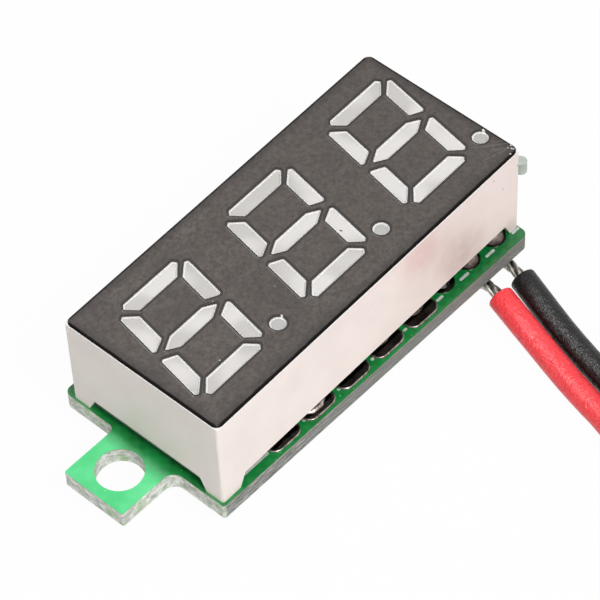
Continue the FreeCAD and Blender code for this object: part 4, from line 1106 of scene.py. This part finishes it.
def makeTie():
    half = leads["diameter"] / 2
    inner, outer = leadRoutes["black"]["radius"], leadRoutes["red"]["radius"]
    low = leads["restHeight"] + leads["turnRise"] * coilTie["place"]
    high = low + leads["turnRise"] * coilTie["turnsHeld"]
    angle = 2 * math.pi * coilTie["place"]
    middle = Vector((*leads["coilMiddle"], 0))
    out = (coilPoint(leadRoutes["red"], angle, 0) - middle).normalized()
    along = Vector((0, 0, 1)).cross(out)
    vertices = []
    for spread, aside in ((0, -1), (0, 1), (coilTie["thickness"], 1), (coilTie["thickness"], -1)):
        for number, (across, up) in enumerate(((outer, low), (outer, high), (inner, high), (inner, low))):
            for step in range(coilTie["steps"] + 1):
                bend = math.pi / 2 * (number - 1 + step / coilTie["steps"])
                spot = middle + out * (across + (half + spread) * math.cos(bend))
                spot = spot + along * coilTie["width"] / 2 * aside
                vertices.append((spot.x, spot.y, up + (half + spread) * math.sin(bend)))
    faces = bandFaces(len(vertices) // 4, 4, closed=True)
    plastic = makePlainFinish("tiePlastic", (34, 33, 34), (26, 25, 26), (0.35, 0.5))
    makePiece("coilTie", vertices, faces, plastic, "black_insulation")


makeTie()
print("coils tied")


# Stub of bare laminate at the right ear, where the board was broken off its panel

boardStub = {
    "outline": [(14.4, -1.75), (14.55, -2.05), (14.74, -2.17), (14.92, -2.16), (15.06, -2.06), (15.12, -1.9),
                (15.1, -1.72), (15.0, -1.57), (14.82, -1.48), (14.4, -1.42)],
    "under": 1.95,
    "top": 2.79,
    "bevel": 0.03,
}


def makeStub():
    fibre = makePlainFinish("bareLaminate", (196, 204, 196), (178, 190, 180), (0.6, 0.75), 0.5, 0.1, 0.01)
    piece = raisedShapes("boardStub", [boardStub["outline"]], boardStub["under"], boardStub["top"], fibre)
    bevel = piece.modifiers.new("worn", "BEVEL")
    bevel.width = boardStub["bevel"] * millimetre
    bevel.segments = 2
    dress(piece)


makeStub()
print("stub at the ear")


# Floor, background and lamps

studio = {
    "floorSize": 1.2,
    "floorTone": 0.8,
    "floorShown": 0.97,  # how much of the floor's white comes of itself where the camera sees it
    "underBoard": (9.6, 3.3),  # there the floor is only seen in the board's shadow, through small holes
    "ambient": 0.42,
    "aim": (0, 0, 0.005),
    "key": {"place": (-0.075, -0.365, 0.475), "size": 0.2, "power": 2.65},
    "gloss": {"place": (-0.15, 0.21, 0.53), "size": 0.12, "power": 3.0, "diffuse": False},
}


def seenStraight(tree):
    # 1 for what the camera sees, also in a shine or through something clear, and 0 for light on the object
    path = tree.nodes.new("ShaderNodeLightPath")
    return most(tree, [path.outputs[f"Is {kind} Ray"] for kind in ("Camera", "Glossy", "Transmission")])


def makeFloor():
    material = bpy.data.materials.new("paleFloor")
    material.use_nodes = True
    tree = material.node_tree
    tree.nodes.clear()
    matt = grow(tree, "ShaderNodeBsdfDiffuse", Color=(*[studio["floorTone"]] * 3, 1))
    glow = grow(tree, "ShaderNodeEmission", Color=(1, 1, 1, 1), Strength=1.0)
    beside = sums(tree, "SUBTRACT", 1.0, patch(tree, (0, 0, 0), studio["underBoard"], soft=0.02))
    share = times(tree, times(tree, seenStraight(tree), beside), studio["floorShown"])
    mixed = tree.nodes.new("ShaderNodeMixShader")
    tree.links.new(share, mixed.inputs[0])
    tree.links.new(matt.outputs[0], mixed.inputs[1])
    tree.links.new(glow.outputs[0], mixed.inputs[2])
    out = tree.nodes.new("ShaderNodeOutputMaterial")
    tree.links.new(mixed.outputs[0], out.inputs["Surface"])
    half = studio["floorSize"] / 2
    corners = [(-half, -half, 0), (half, -half, 0), (half, half, 0), (-half, half, 0)]
    makePiece("floor", corners, [(0, 1, 2, 3)], material, unit=1)


def makeWorld():
    world = bpy.data.worlds.new("studioWorld")
    scene.world = world
    world.use_nodes = True
    tree = world.node_tree
    background = tree.nodes["Background"]
    background.inputs["Color"].default_value = (1, 1, 1, 1)
    strength = ramp(tree, seenStraight(tree), 0.0, 1.0, studio["ambient"], 1.0)
    tree.links.new(strength, background.inputs["Strength"])


def makeLamp(name):
    lamp = studio[name]
    data = bpy.data.lights.new(name, "AREA")
    data.size = lamp["size"]
    data.energy = lamp["power"]
    light = addObject(name, data)
    light.location = lamp["place"]
    aim = Vector(studio["aim"]) - Vector(lamp["place"])
    light.rotation_euler = aim.to_track_quat("-Z", "Y").to_euler()
    light.visible_diffuse = lamp.get("diffuse", True)


makeFloor()
makeWorld()
makeLamp("key")
makeLamp("gloss")
scene.view_settings.view_transform = "Standard"
print("floor, background and lamps ready")
